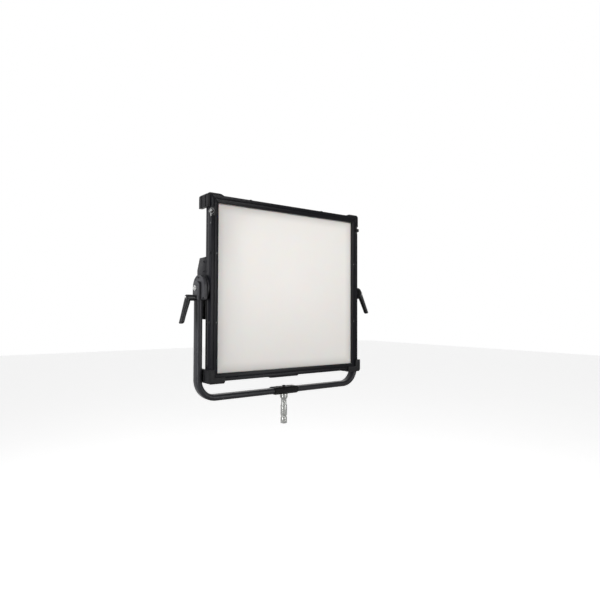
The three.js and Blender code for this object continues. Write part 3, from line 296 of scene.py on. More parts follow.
# ------------------------------------------------------------------ materials

def shader_of(name):
    material = bpy.data.materials.new(name)
    material.use_nodes = True
    return material, material.node_tree, material.node_tree.nodes["Principled BSDF"]


def set_sockets(shader, values):
    for name, value in values.items():
        shader.inputs[name].default_value = value


def coordinates(tree, stretch):
    """Object coordinates in metres, scaled along each axis."""
    place = tree.nodes.new("ShaderNodeTexCoord")
    mapping = tree.nodes.new("ShaderNodeMapping")
    mapping.inputs["Scale"].default_value = stretch
    tree.links.new(place.outputs["Object"], mapping.inputs["Vector"])
    return mapping.outputs["Vector"]


def noise(tree, where, scale, detail=3.0, rough=0.55):
    node = tree.nodes.new("ShaderNodeTexNoise")
    node.inputs["Scale"].default_value = scale
    node.inputs["Detail"].default_value = detail
    node.inputs["Roughness"].default_value = rough
    tree.links.new(where, node.inputs["Vector"])
    return node.outputs["Fac"]


def spread(tree, value, low, high, start=0.3, end=0.7):
    """Value from start to end, mapped to low to high."""
    node = tree.nodes.new("ShaderNodeMapRange")
    node.inputs["From Min"].default_value = start
    node.inputs["From Max"].default_value = end
    node.inputs["To Min"].default_value = low
    node.inputs["To Max"].default_value = high
    tree.links.new(value, node.inputs["Value"])
    return node.outputs["Result"]


def blended(tree, factor, first, second):
    node = tree.nodes.new("ShaderNodeMix")
    node.data_type = "RGBA"
    for socket, value in ((node.inputs[6], first), (node.inputs[7], second)):
        if isinstance(value, bpy.types.NodeSocket):
            tree.links.new(value, socket)
        else:
            socket.default_value = (*value, 1)
    tree.links.new(factor, node.inputs[0])
    return node.outputs[2]


def calculated(tree, operation, first, second):
    node = tree.nodes.new("ShaderNodeMath")
    node.operation = operation
    for socket, value in zip(node.inputs, (first, second)):
        if isinstance(value, bpy.types.NodeSocket):
            tree.links.new(value, socket)
        else:
            socket.default_value = value
    return node.outputs[0]


def bumped(tree, shader, height, distance, strength):
    node = tree.nodes.new("ShaderNodeBump")
    node.inputs["Distance"].default_value = distance
    node.inputs["Strength"].default_value = strength
    tree.links.new(height, node.inputs["Height"])
    tree.links.new(node.outputs["Normal"], shader.inputs["Normal"])


def shaded(colour, factor):
    return tuple(min(1.0, c * factor) for c in colour)


def surface(name, colour, roughness, vary=0.12, rough_vary=0.06, cloud=22.0, grain=1800.0,
            bump=0.25, depth=0.04, stretch=(1, 1, 1), metallic=0.0, specular=0.5):
    """Finish with cloudy colour, uneven gloss and a fine grain; depth is in millimetres."""
    material, tree, shader = shader_of(name)
    plain = coordinates(tree, (1, 1, 1))
    drawn = coordinates(tree, stretch)
    cloudy = noise(tree, plain, cloud, 4.0)
    fine = noise(tree, drawn, grain, 2.0)
    mottled = calculated(tree, "ADD", spread(tree, cloudy, 0.0, 0.7), spread(tree, fine, 0.0, 0.3))
    tint = blended(tree, mottled, shaded(colour, 1 - vary), shaded(colour, 1 + vary))
    tree.links.new(tint, shader.inputs["Base Color"])
    gloss = noise(tree, plain, cloud * 5, 3.0)
    uneven = spread(tree, gloss, roughness - rough_vary, roughness + rough_vary)
    tree.links.new(uneven, shader.inputs["Roughness"])
    bumped(tree, shader, fine, depth * MM, bump)
    set_sockets(shader, {"Metallic": metallic, "Specular IOR Level": specular})
    return material


def turned_metal(name, colour, roughness, axis):
    """Bright metal with fine tool marks round an axis."""
    stretch = tuple(4000.0 if i == axis else 30.0 for i in range(3))
    return surface(name, colour, roughness, vary=0.04, rough_vary=0.03, cloud=60.0, grain=1.0,
                   bump=0.04, depth=0.01, stretch=stretch, metallic=0.8)


def opal_sheet(name, colour):
    """Opal diffuser: satin micro grain, painted light as a falloff from a brighter middle towards the rim, and
    painted shade along the rim where the frame's lip would shade the sheet.
    """
    material, tree, shader = shader_of(name)
    where = coordinates(tree, (1, 1, 1))
    split = tree.nodes.new("ShaderNodeSeparateXYZ")
    tree.links.new(where, split.inputs["Vector"])
    across = calculated(tree, "ABSOLUTE", split.outputs["X"], 0.0)
    height = calculated(tree, "SUBTRACT", split.outputs["Z"], PIVOT_Z)
    upright = calculated(tree, "ABSOLUTE", height, 0.0)
    side_gap = calculated(tree, "SUBTRACT", APERTURE_HALF_X, across)
    end_gap = calculated(tree, "SUBTRACT", APERTURE_HALF_Z, upright)
    nearest = calculated(tree, "MINIMUM", side_gap, end_gap)
    # mask for painted shade: 0 at the aperture's edge, rising to 1 at RIM_SHADE_WIDTH in from it
    rim = spread(tree, nearest, 0.0, 1.0, 0.0, RIM_SHADE_WIDTH)
    # painted light: distance from the sheet's middle, which darkens the colour to 0.96 towards the rim
    spot = tree.nodes.new("ShaderNodeVectorMath")
    spot.operation = "DISTANCE"
    spot.inputs[1].default_value = (0, FRAME_FRONT, PIVOT_Z)
    tree.links.new(where, spot.inputs[0])
    cloudy = spread(tree, noise(tree, where, 6.0, 2.0), 0.0, 1.0)
    body = blended(tree, cloudy, shaded(colour, 0.985), colour)
    outward = spread(tree, spot.outputs["Value"], 0.0, 1.0, 0.05, 0.42)
    painted_falloff_tone = blended(tree, outward, body, shaded(colour, 0.96))
    # painted shade: the rim goes down to 0.66 of the colour, where the frame's lip would shade the sheet
    tint = blended(tree, calculated(tree, "POWER", rim, 0.45), shaded(colour, 0.66), painted_falloff_tone)
    tree.links.new(tint, shader.inputs["Base Color"])
    fine = noise(tree, where, 2600.0, 2.0)
    tree.links.new(spread(tree, fine, 0.42, 0.56), shader.inputs["Roughness"])
    bumped(tree, shader, fine, 0.02 * MM, 0.2)
    set_sockets(shader, {"Subsurface Weight": 0.15, "Subsurface Scale": 0.004, "Specular IOR Level": 0.3})
    return material


def dark_glass(name):
    """Display glass over a fine grid of unlit dots."""
    material, tree, shader = shader_of(name)
    where = coordinates(tree, (1, 1, 1))
    dots = tree.nodes.new("ShaderNodeTexChecker")
    dots.inputs["Scale"].default_value = 1400.0
    tree.links.new(where, dots.inputs["Vector"])
    cloudy = spread(tree, noise(tree, where, 40.0), 0.0, 1.0)
    grid = blended(tree, dots.outputs["Fac"], (0.012, 0.014, 0.018), (0.006, 0.008, 0.012))
    tint = blended(tree, cloudy, grid, (0.01, 0.014, 0.02))
    tree.links.new(tint, shader.inputs["Base Color"])
    tree.links.new(spread(tree, cloudy, 0.05, 0.12, 0.0, 1.0), shader.inputs["Roughness"])
    set_sockets(shader, {"Coat Weight": 0.6, "Coat Roughness": 0.04})
    return material


# width of the painted shade along the diffuser's rim
RIM_SHADE_WIDTH = 34 * MM

PAINT = (0.0055, 0.0055, 0.0072)
DRAWN_ALONG_X = (12, 2200, 2200)  # noise scale that leaves long lines, as extrusion does
DRAWN_ALONG_Z = (2200, 2200, 12)
FINISH = {
    "frame_level": surface("extruded_black_level", PAINT, 0.33, grain=1.0, stretch=DRAWN_ALONG_X,
                           bump=0.12, specular=0.3),
    "frame_upright": surface("extruded_black_upright", PAINT, 0.33, grain=1.0, stretch=DRAWN_ALONG_Z,
                             bump=0.12, specular=0.3),
    "yoke": surface("yoke_satin_paint", (0.020, 0.020, 0.023), 0.34, grain=1400.0, bump=0.2),
    "casting": surface("textured_casting_paint", (0.032, 0.032, 0.035), 0.40, grain=900.0,
                       bump=0.5, depth=0.12),
    "clamp": surface("black_clamp_paint", (0.006, 0.006, 0.0065), 0.5, grain=900.0,
                     bump=0.4, depth=0.1, specular=0.3),
    "cover": surface("cover_powder_coat", (0.009, 0.009, 0.0105), 0.44, grain=1100.0,
                     bump=0.45, depth=0.1),
    "rubber": surface("bumper_rubber", (0.010, 0.010, 0.011), 0.55, grain=1300.0, bump=0.4, depth=0.08),
    "plastic": surface("moulded_black_plastic", (0.010, 0.010, 0.011), 0.38, grain=1600.0, bump=0.3),
    "grip": surface("lever_plastic", (0.016, 0.016, 0.017), 0.28, grain=1500.0, bump=0.25),
    "opal": opal_sheet("opal_diffuser", (0.80, 0.775, 0.745)),
    "white": surface("white_reflector", (0.85, 0.85, 0.83), 0.5, vary=0.03, grain=900.0),
    "anodised": surface("black_anodised_fins", (0.022, 0.022, 0.024), 0.36, metallic=0.6,
                        stretch=(1, 1, 0.01)),
    "bare": surface("bare_aluminium", (0.60, 0.61, 0.60), 0.36, vary=0.05, metallic=1.0,
                    stretch=(1, 1, 0.02)),
    "spigot": turned_metal("turned_spigot_metal", (0.74, 0.75, 0.725), 0.24, 2),
    "steel": surface("bright_steel", (0.80, 0.80, 0.79), 0.26, vary=0.05, grain=2400.0,
                     bump=0.1, metallic=0.75),
    "satin_steel": surface("satin_steel", (0.30, 0.30, 0.30), 0.38, vary=0.06, grain=2200.0,
                           bump=0.1, metallic=0.6),
    "dull_steel": surface("dull_screw_steel", (0.16, 0.16, 0.165), 0.4, vary=0.1, grain=2000.0,
                          metallic=0.6),
    "black_steel": surface("black_oxide_steel", (0.03, 0.03, 0.031), 0.34, grain=2000.0, metallic=0.8),
    "board": surface("white_led_board", (0.78, 0.79, 0.76), 0.45, vary=0.04, grain=500.0),
    "green_board": surface("green_circuit_board", (0.02, 0.12, 0.06), 0.4, vary=0.3, cloud=90.0,
                           grain=600.0),
    "brake": surface("brake_lining", (0.05, 0.04, 0.033), 0.85, vary=0.3, grain=700.0,
                     bump=0.6, depth=0.2),
    # near-black patch painted as the shadow inside the accessory slots
    "shadow": surface("painted_slot_shadow", (0.004, 0.004, 0.004), 0.7, grain=1600.0),
    "glass": dark_glass("display_glass"),
    "mark": surface("pale_marking", (0.70, 0.70, 0.68), 0.5, vary=0.03),
    "brass": surface("contact_brass", (0.72, 0.55, 0.26), 0.3, vary=0.08, metallic=1.0),
}


def plain_finish(node, finish):
    """CAD node kept as it is, inside the lamp, with a finish of its own."""
    materials = frame["nodes"][node].data.materials
    materials.clear()
    materials.append(FINISH[finish])


# ------------------------------------------------------------------ yoke, clamp and spigot

YOKE_BEND = 68.5 * MM             # radius of the tube's centre line
TUBE_THIN = 23 * MM


def yoke_path():
    """Centre line of the tube, from the top of the left arm to the top of the right one."""
    low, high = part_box("yoke_tube")
    arm, bar = high.x - TUBE_THIN / 2, low.z + TUBE_THIN / 2
    centre_z = bar + YOKE_BEND
    left = bend(Vector((YOKE_BEND - arm, 0, centre_z)), YOKE_BEND, 180, 270, X_AXIS, Z_AXIS, 20)
    right = bend(Vector((arm - YOKE_BEND, 0, centre_z)), YOKE_BEND, 270, 360, X_AXIS, Z_AXIS, 20)
    return [Vector((-arm, 0, high.z)), *left, *right, Vector((arm, 0, high.z))]


def add_yoke():
    outline = flat_oval(TUBE_THIN, size("yoke_tube").y, 14)
    tube = built("yoke_bent_tube", sweep, outline, yoke_path(), Y_AXIS, bevel=0.4 * MM, sharp=60)
    stands_for(tube, "yoke_tube", FINISH["yoke"])
    for half in ("upper", "lower"):
        refined(f"spigot_clamp_{half}", FINISH["clamp"], 1.2 * MM, 3)
    refined("yoke_fitting_left", FINISH["casting"], 1.6 * MM, 3)
    refined("yoke_fitting_right", FINISH["casting"], 1.6 * MM, 3)
    add_spigot()
    add_clamp_screws()
    add_fitting_details()


def add_spigot():
    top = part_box("spigot")[1].z
    body, neck, collar, groove = 14 * MM, 11.65 * MM, 16.5 * MM, 12 * MM
    profile = rounded([
        (0, 0), (body - 1.5 * MM, 0), (body, 1.5 * MM), (body, 23.6 * MM), (groove, 25.4 * MM),
        (groove, 31.9 * MM), (body, 33.7 * MM), (body, 73.6 * MM), (neck, 75.2 * MM), (neck, 97.5 * MM),
        (collar, 105.7 * MM), (collar, top), (0, top),
    ], 0.7 * MM, 3)
    spigot = built("spigot_turned", revolve, profile, Matrix.Identity(4), 96)
    stands_for(spigot, "spigot", FINISH["spigot"])
    low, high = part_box("spigot_bolt")
    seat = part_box("spigot_clamp_upper")[1].z + 0.3 * MM
    place = facing((0, 0, seat), Z_AXIS)
    bolt = built("spigot_bolt_head", socket_screw, place, (high.x - low.x) / 2, high.z - seat)
    stands_for(bolt, "spigot_bolt", FINISH["black_steel"])


def add_clamp_screws():
    low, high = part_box("spigot_clamp_upper")
    bm = bmesh.new()
    for x in (low.x + 30 * MM, high.x - 30 * MM):
        for y in (-0.5 * high.y, 0.5 * high.y):
            socket_screw(bm, facing((x, y, high.z - 0.2 * MM), Z_AXIS), 3.6 * MM, 1.4 * MM)
    trim(object_from(bm, "clamp_screws"), "spigot_clamp_upper", FINISH["black_steel"])


def add_fitting_details():
    """Two screws low on the left casting and a smaller one above the pivot."""
    low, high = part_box("yoke_fitting_left")
    plate = high.x - 11.5 * MM
    corner = Vector((plate, low.y + 7 * MM, PIVOT_Z - 37 * MM))
    bm = bmesh.new()
    socket_screw(bm, facing(corner, -X_AXIS), 3.6 * MM, 2.4 * MM)
    socket_screw(bm, facing(corner + Vector((0, high.y - low.y - 14 * MM, 0)), -X_AXIS), 3.6 * MM, 2.4 * MM)
    socket_screw(bm, facing((plate, 0, PIVOT_Z + 38 * MM), -X_AXIS), 3 * MM, 1.8 * MM)
    trim(object_from(bm, "left_fitting_screws"), "yoke_fitting_left", FINISH["black_steel"])


# ------------------------------------------------------------------ clamping levers

LEVER_LENGTH = 96 * MM
LEVER_LEAN = math.radians(15.6)
LEVER_FORWARD = {"left": math.radians(5), "right": math.radians(10.7)}
LEVER_HUB_END = 40.1 * MM         # hub's outer face, from the yoke's arm
THRUST_CONE = 10.5 * MM           # length of the cone under the right lever's hub
LEVER_STATIONS = (                # share of the length, width, thickness
    (0.01, 22.8, 20.8), (0.12, 23.8, 21.8), (0.35, 22.8, 20.3), (0.70, 21.4, 18.4),
    (0.93, 21.4, 17.9), (0.983, 16.5, 12.6), (0.997, 8.5, 5.6),
)


def lever_form(bm, side, forward, start, end, foot, height):
    """Cast handle: a hub along X and a grip that hangs down from its outer end."""
    hub = 11.6 * MM
    length = abs(end - start)
    place = framed((start, 0, height), Z_AXIS, (side, 0, 0))
    profile = rounded([
        (0, 0.2 * MM), (foot, 0.2 * MM), (foot, 5 * MM), (hub, length - 5 * MM),
        (hub - 2.4 * MM, length - 1.4 * MM), (hub - 6 * MM, length - 0.4 * MM), (0, length - 0.4 * MM),
    ], 3 * MM, 4)
    revolve(bm, profile, place, 40)
    along = Vector((side * math.sin(LEVER_LEAN), -math.sin(forward), -math.cos(LEVER_LEAN))).normalized()
    wide_way = along.cross(Vector((side, 0, 0))).normalized()
    thin_way = along.cross(wide_way).normalized()
    inward = thin_way * (-math.copysign(1, thin_way.x * side))
    edge = Vector((end, 0, height))
    rings = []
    root = LEVER_STATIONS[0][2]
    for share, wide, thin in LEVER_STATIONS:
        centre = edge + along * (share * LEVER_LENGTH) + inward * (root / 2 - (root - thin) / 2) * MM
        ring = []
        for k in range(28):
            angle = 2 * math.pi * k / 28
            ring.append(centre + wide_way * (wide / 2 * MM * math.cos(angle))
                        + thin_way * (thin / 2 * MM * math.sin(angle)))
        rings.append(ring)
    loft(bm, rings)


def add_lever(name):
    side = SIDES[name]
    joint = JOINTS[f"{name}_lever_turn"]["pos_m"]
    axis_z = joint[2]
    low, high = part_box(f"{name}_lever_handle")
    washer = THRUST_CONE if name == "right" else 0.0
    start = side * (ARM_OUTER + washer + 0.6 * MM)
    end = side * (ARM_OUTER + LEVER_HUB_END)
    foot = (high.y - low.y) / 2 if name == "right" else 11.6 * MM
    handle = built(f"{name}_lever_grip_body", lever_form, side, LEVER_FORWARD[name], start, end,
                   foot - 0.4 * MM, axis_z)
    skin = handle.modifiers.new("cast_skin", "REMESH")
    skin.mode = "VOXEL"
    skin.voxel_size = 1.1 * MM
    skin.use_smooth_shade = True
    ease = handle.modifiers.new("eased_corners", "SMOOTH")
    ease.factor = 0.5
    ease.iterations = 7
    stands_for(handle, f"{name}_lever_handle", FINISH["grip"])

    low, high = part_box(f"{name}_lever_stud")
    inner = low.x if side > 0 else high.x
    place = framed((0, 0, axis_z), Z_AXIS, (side, 0, 0))
    face = ARM_OUTER
    points = [(0, abs(inner)), (4 * MM, abs(inner)), (4 * MM, face + 0.3 * MM)]
    if name == "right":
        points += [(26 * MM, face + 0.3 * MM), (26 * MM, face + washer)]
    neck = face + max(washer, 0.3 * MM)
    points += [(7.4 * MM, neck), (7.4 * MM, neck + 15 * MM), (0, neck + 15 * MM)]
    stud = built(f"{name}_lever_stud_turned", revolve, rounded(points, 0.8 * MM, 2), place, 48)
    stands_for(stud, f"{name}_lever_stud", FINISH["black_steel" if name == "right" else "steel"])

    cap_place = framed((end, 0, axis_z), Z_AXIS, (side, 0, 0))
    cap_radius = 6.2 * MM
    cap_profile = rounded([
        (0, -2 * MM), (cap_radius, -2 * MM), (cap_radius, -0.1 * MM), (0, -0.1 * MM),
    ], 0.7 * MM, 3)
    cap = built(f"{name}_lever_release_cap", revolve, cap_profile, cap_place, 32)
    trim(cap, f"{name}_lever_handle", FINISH["steel"])


# ------------------------------------------------------------------ front frame and optics

def add_frame():
    for name in ("top", "bottom"):
        refined(f"frame_{name}_rail", FINISH["frame_level"], 0.7 * MM)
    for name in SIDES:
        refined(f"frame_{name}_rail", FINISH["frame_upright"], 0.7 * MM)
    refined("diffuser_panel", FINISH["opal"], 0.4 * MM)
    plain_finish("reflector_walls", "white")
    plain_finish("led_board_left", "board")
    plain_finish("led_board_right", "board")
    plain_finish("chassis_plate", "bare")
    for level in ("upper", "lower"):
        for name in SIDES:
            refined(f"corner_bumper_{level}_{name}", FINISH["rubber"], 1.6 * MM, 3)
    refined("bottom_pad", FINISH["rubber"], 1.2 * MM, 3)
    add_edge_studs()
    add_lock_pins()


def edge_stations():
    """Point on the frame's outer front edge and the outward direction, on the top and the sides."""
    setback = FRAME_FRONT + 9 * MM
    stations = []
    for along in (-190 * MM, 158 * MM):
        stations.append((Vector((along, setback, FRAME_TOP)), Z_AXIS))
    for along in (-126 * MM, 126 * MM):
        for side in SIDES.values():
            stations.append((Vector((side * FRAME_HALF_X, setback, PIVOT_Z + along)), X_AXIS * side))
    return stations


def add_edge_studs():
    """Spring catches for accessories: a stud on the outside, and on the bezel a catch pin and a near-black patch
    painted as the shadow inside the slot.
    """
    studs, slot_shadows, pins = bmesh.new(), bmesh.new(), bmesh.new()
    profile = rounded([
        (0, -1 * MM), (6 * MM, -1 * MM), (5.4 * MM, 2.2 * MM), (2.6 * MM, 3.6 * MM), (0, 3.6 * MM),
    ], 1.2 * MM, 4)
    pin_profile = rounded([
        (0, -1 * MM), (1.5 * MM, -1 * MM), (1.5 * MM, 0.4 * MM), (0, 0.8 * MM),
    ], 0.3 * MM, 2)
    slot = rectangle(9 * MM, 4 * MM, 1.8 * MM)
    for point, outward in edge_stations():
        revolve(studs, profile, facing(point, outward), 32)
        if abs(outward.z) > 0.5:
            revolve(pins, pin_profile, facing(point + X_AXIS * 18 * MM, outward), 20)
            continue
        on_bezel = Vector((point.x, FRAME_FRONT, point.z)) - outward * 14.5 * MM
        # painted shadow: a thin near-black patch standing on the bezel where the slot would be in shade
        prism(slot_shadows, slot, framed(on_bezel, Z_AXIS, -Y_AXIS), -1 * MM, 0.25 * MM)
        revolve(pins, pin_profile, facing(on_bezel - outward * 8 * MM, -Y_AXIS), 20)
    host = "frame_top_rail"
    trim(object_from(studs, "accessory_studs"), host, FINISH["plastic"])
    trim(object_from(slot_shadows, "accessory_slot_shadows", 0.15 * MM), host, FINISH["shadow"])
    trim(object_from(pins, "accessory_catch_pins"), host, FINISH["steel"])


LOCK_FLAT = 15 * MM               # leg of the 45 degree flat that carries an accessory lock


def lock_place(name):
    side = SIDES[name]
    centre = middle(f"accessory_lock_base_{name}")
    origin = (side * (FRAME_HALF_X - LOCK_FLAT / 2), FRAME_FRONT + LOCK_FLAT / 2, centre.z)
    return framed(origin, Z_AXIS, (side, -1, 0))


def add_lock(name):
    place = lock_place(name)
    flat_half = LOCK_FLAT / math.sqrt(2) - 0.4 * MM

    def within_flat(radius, height, angle):
        if radius <= 12 * MM:
            return radius
        return min(radius, max(flat_half - height, 3 * MM) / max(abs(math.sin(angle)), 0.05))

    dome = rounded([
        (0, 0.1 * MM), (16 * MM, 0.1 * MM), (15 * MM, 3 * MM), (12.6 * MM, 4.8 * MM), (0, 4.8 * MM),
    ], MM, 3)
    base = built(f"accessory_lock_base_{name}_domed", revolve, dome, place, 72, within_flat)
    stands_for(base, f"accessory_lock_base_{name}", FINISH["plastic"])
    rim = 11.5 * MM
    profile = rounded([
        (0, -9 * MM), (3 * MM, -9 * MM), (3 * MM, 5.3 * MM), (rim, 5.3 * MM), (rim, 8.4 * MM),
        (10.6 * MM, 9.2 * MM), (8.2 * MM, 9.3 * MM), (7.4 * MM, 12.6 * MM), (6.8 * MM, 13.2 * MM),
        (6.5 * MM, 15.7 * MM), (5.6 * MM, 16.5 * MM), (0, 16.5 * MM),
    ], 0.5 * MM, 3)

    def knurled(radius, height, angle):
        return radius - (0.35 * MM * (0.5 - 0.5 * math.cos(36 * angle)) if radius > 10.8 * MM else 0)

    knob = built(f"accessory_lock_knob_{name}_turned", revolve, profile, place, 144, knurled)
    stands_for(knob, f"accessory_lock_knob_{name}", FINISH["plastic"])
    bm = bmesh.new()
    hole, ring_rim = 8.6 * MM, 10.4 * MM
    ring = [(hole, 9 * MM), (ring_rim, 9 * MM), (ring_rim, 9.5 * MM), (hole, 9.7 * MM), (hole, 9 * MM)]
    revolve(bm, ring, place, 64)
    button = rounded([
        (0, 16 * MM), (4.9 * MM, 16 * MM), (4.9 * MM, 16.9 * MM), (3 * MM, 17.2 * MM), (0, 17.2 * MM),
    ], 0.5 * MM, 3)
    revolve(bm, button, place, 48)
    trim(object_from(bm, f"accessory_lock_{name}_bright_faces"), f"accessory_lock_knob_{name}",
         FINISH["satin_steel"])
    ridge = [(-flat_half, 0.1 * MM), (flat_half, 0.1 * MM), (0, flat_half)]
    quarter = math.radians(90)
    on_end = place @ Matrix.Rotation(quarter, 4, "Z") @ Matrix.Rotation(quarter, 4, "X")
    bm = bmesh.new()
    for start in (-16.2 * MM, 12 * MM):
        prism(bm, ridge, on_end, start, start + 4.2 * MM)
    trim(object_from(bm, f"accessory_lock_{name}_cheeks", 0.8 * MM), f"accessory_lock_base_{name}",
         FINISH["plastic"])


def add_lock_pins():
    """Bright hook pin below each lock and a dark screw further down, on the frame's sides."""
    pins, screws = bmesh.new(), bmesh.new()
    pin_outline = rectangle(3.2 * MM, 9 * MM, 1.4 * MM)
    for name, side in SIDES.items():
        z = middle(f"accessory_lock_base_{name}").z
        pin = Vector((side * FRAME_HALF_X, FRAME_FRONT + 4 * MM, z - 15 * MM))
        prism(pins, pin_outline, framed(pin, Y_AXIS, (side, 0, 0)), -0.5 * MM, 1.6 * MM)
        screw = Vector((side * FRAME_HALF_X, FRAME_FRONT + 6 * MM, z - 43 * MM))
        socket_screw(screws, framed(screw, Y_AXIS, (side, 0, 0)), 3.4 * MM, 1.6 * MM)
    trim(object_from(pins, "lock_hook_pins", 0.4 * MM), "frame_left_rail", FINISH["steel"])
    trim(object_from(screws, "frame_side_screws"), "frame_left_rail", FINISH["dull_steel"])


# ------------------------------------------------------------------ tilt pivot

def add_pivots():
    for name, side in SIDES.items():
        refined(f"side_bracket_{name}", FINISH["cover"], 0.9 * MM)
        refined(f"pivot_drum_{name}", FINISH["casting"], 0.8 * MM)
        refined(f"friction_disc_{name}", FINISH["brake"], 0.3 * MM)
        bracket_screws(name, side)
    low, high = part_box("pivot_bolt_left")
    head = (high.z - low.z) / 2
    seat = ARM_OUTER + 0.3 * MM
    tip = -low.x
    place = framed((0, 0, PIVOT_Z), Z_AXIS, -X_AXIS)
    recess = 0.5 * head

    def hexagonal(radius, height, angle):
        if radius > recess * 1.01 or height < seat:
            return radius
        corner = (angle + math.pi / 6) % (math.pi / 3) - math.pi / 6
        return radius * math.cos(math.pi / 6) / math.cos(corner)

    profile = rounded([
        (0, -high.x), (6 * MM, -high.x), (6 * MM, seat), (head, seat), (head, tip - 4 * MM),
        (0.8 * head, tip - 1.2 * MM), (recess, tip - 0.2 * MM), (recess, tip - 3.6 * MM), (0, tip - 3.6 * MM),
    ], 0.7 * MM, 3)
    bolt = built("pivot_bolt_left_turned", revolve, profile, place, 60, hexagonal)
    stands_for(bolt, "pivot_bolt_left", FINISH["steel"])


def bracket_screws(name, side):
    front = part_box(f"side_bracket_{name}")[0].y
    bm = bmesh.new()
    for z in (-98, -62, 62, 98):
        point = Vector((side * FRAME_HALF_X, front + 12 * MM, PIVOT_Z + z * MM))
        socket_screw(bm, framed(point, Y_AXIS, (side, 0, 0)), 4 * MM, 2.2 * MM)
    trim(object_from(bm, f"side_bracket_screws_{name}"), f"side_bracket_{name}", FINISH["black_steel"])


# ------------------------------------------------------------------ rear

def add_rear():
    refined("rear_cover", FINISH["cover"], 0.6 * MM)
    refined("electronics_housing", FINISH["cover"], 0.8 * MM)
    for name in SIDES:
        refined(f"heat_sink_{name}", FINISH["anodised"], 0.3 * MM)
        refined(f"fan_frame_{name}", FINISH["plastic"], 0.5 * MM)
        add_fan_rotor(name)
    plain_finish("power_supply", "bare")
    plain_finish("driver_board", "green_board")
    add_cover_screws()
    add_handle()


def add_fan_rotor(name):
    node = f"fan_rotor_{name}"
    low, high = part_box(node)
    centre = middle(f"fan_frame_{name}")
    hub, tip = 15 * MM, 35.6 * MM
    bm = bmesh.new()
    place = facing((centre.x, 0, centre.z), Y_AXIS)
    profile = rounded([(0, low.y), (hub, low.y), (hub, high.y), (0, high.y)], 1.6 * MM, 4)
    revolve(bm, profile, place, 48)
    mid_y = (low.y + high.y) / 2
    for blade in range(7):
        rings = []
        for k in range(7):
            share = k / 6
            radius = hub - 1.5 * MM + (tip - hub + 1.5 * MM) * share
            turn = 2 * math.pi * blade / 7 + 0.32 * share
            pitch = math.radians(54 - 20 * share)
            outward = Vector((math.cos(turn), 0, math.sin(turn)))
            sideways = Vector((-math.sin(turn), 0, math.cos(turn)))
            chord = sideways * math.cos(pitch) + Y_AXIS * math.sin(pitch)
            normal = outward.cross(chord)
            half = (5.6 + 1.6 * share) * MM
            centre_point = Vector((centre.x, mid_y, centre.z)) + outward * radius
            ring = [centre_point + chord * (half * a) + normal * (b * MM)
                    for a, b in ((-1, 0), (-0.5, 0.9), (0.2, 1.2), (1, 0.2), (0.2, 0.2), (-0.5, 0.0))]
            rings.append(ring)
        loft(bm, rings)
    stands_for(object_from(bm, f"{node}_bladed"), node, FINISH["plastic"])


def add_cover_screws():
    low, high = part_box("rear_cover")
    bm = bmesh.new()
    inset = 12 * MM
    head_radius, head_height = 3.4 * MM, 1.7 * MM
    for x in (-224, -112, 0, 112, 224):
        for z in (low.z + inset, high.z - inset):
            if z < PIVOT_Z and x == 0:
                continue
            dome_screw(bm, facing((x * MM, COVER_PLATE, z), Y_AXIS), head_radius, head_height)
    for z in (-210, -140, 140, 210):
        for x in (low.x + inset, high.x - inset):
            dome_screw(bm, facing((x, COVER_PLATE, PIVOT_Z + z * MM), Y_AXIS), head_radius, head_height)
    trim(object_from(bm, "cover_screws"), "rear_cover", FINISH["black_steel"])

    bm = bmesh.new()
    for x in (-138, 138):
        for z in (-160, 0, 160):
            dome_screw(bm, facing((x * MM, HOUSING_REAR, PIVOT_Z + z * MM), Y_AXIS), head_radius, head_height)
    trim(object_from(bm, "housing_screws"), "electronics_housing", FINISH["black_steel"])


def add_handle():
    """Carry handle: a bent bar with a ribbed grip sleeve and two screwed feet."""
    low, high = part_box("carry_handle")
    z = (low.z + high.z) / 2
    half, start, radius, corner = 75 * MM, low.y, 8 * MM, 18 * MM
    reach = high.y - radius
    path = [Vector((-half, start + 3 * MM, z))]
    path += bend(Vector((corner - half, reach - corner, z)), corner, 180, 90, X_AXIS, Y_AXIS, 10)
    path += bend(Vector((half - corner, reach - corner, z)), corner, 90, 0, X_AXIS, Y_AXIS, 10)
    path.append(Vector((half, start + 3 * MM, z)))
    circle = [Vector((6.4 * MM * math.cos(a), 6.4 * MM * math.sin(a)))
              for a in (2 * math.pi * k / 28 for k in range(28))]
    bm = bmesh.new()
    sweep(bm, circle, path, Z_AXIS)
    grip_half = 48 * MM
    crest, root = 7.9 * MM, 7.3 * MM
    ribs = [(0, -grip_half)]
    for k in range(25):
        h = -grip_half + 4 * k * MM
        ribs += [(crest, h), (crest, h + 2.6 * MM), (root, h + 2.9 * MM), (root, h + 3.7 * MM)]
    ribs = [rib for rib in ribs if rib[1] < grip_half] + [(root, grip_half), (0, grip_half)]
    revolve(bm, ribs, framed((0, reach, z), Z_AXIS, X_AXIS), 40)
    for x in (-half, half):
        prism(bm, rectangle(31.6 * MM, 27.6 * MM, 5 * MM), framed((x, start, z), X_AXIS, Y_AXIS), 0, 5 * MM)
    stands_for(object_from(bm, "carry_handle_ribbed", 0.3 * MM), "carry_handle", FINISH["rubber"])
    bm = bmesh.new()
    for x in (-half, half):
        for rise in (-9.4 * MM, 9.4 * MM):
            socket_screw(bm, facing((x, start + 5 * MM, z + rise), Y_AXIS), 3 * MM, 1.8 * MM)
    trim(object_from(bm, "handle_screws"), "carry_handle", FINISH["black_steel"])


# ------------------------------------------------------------------ rear controls and sockets

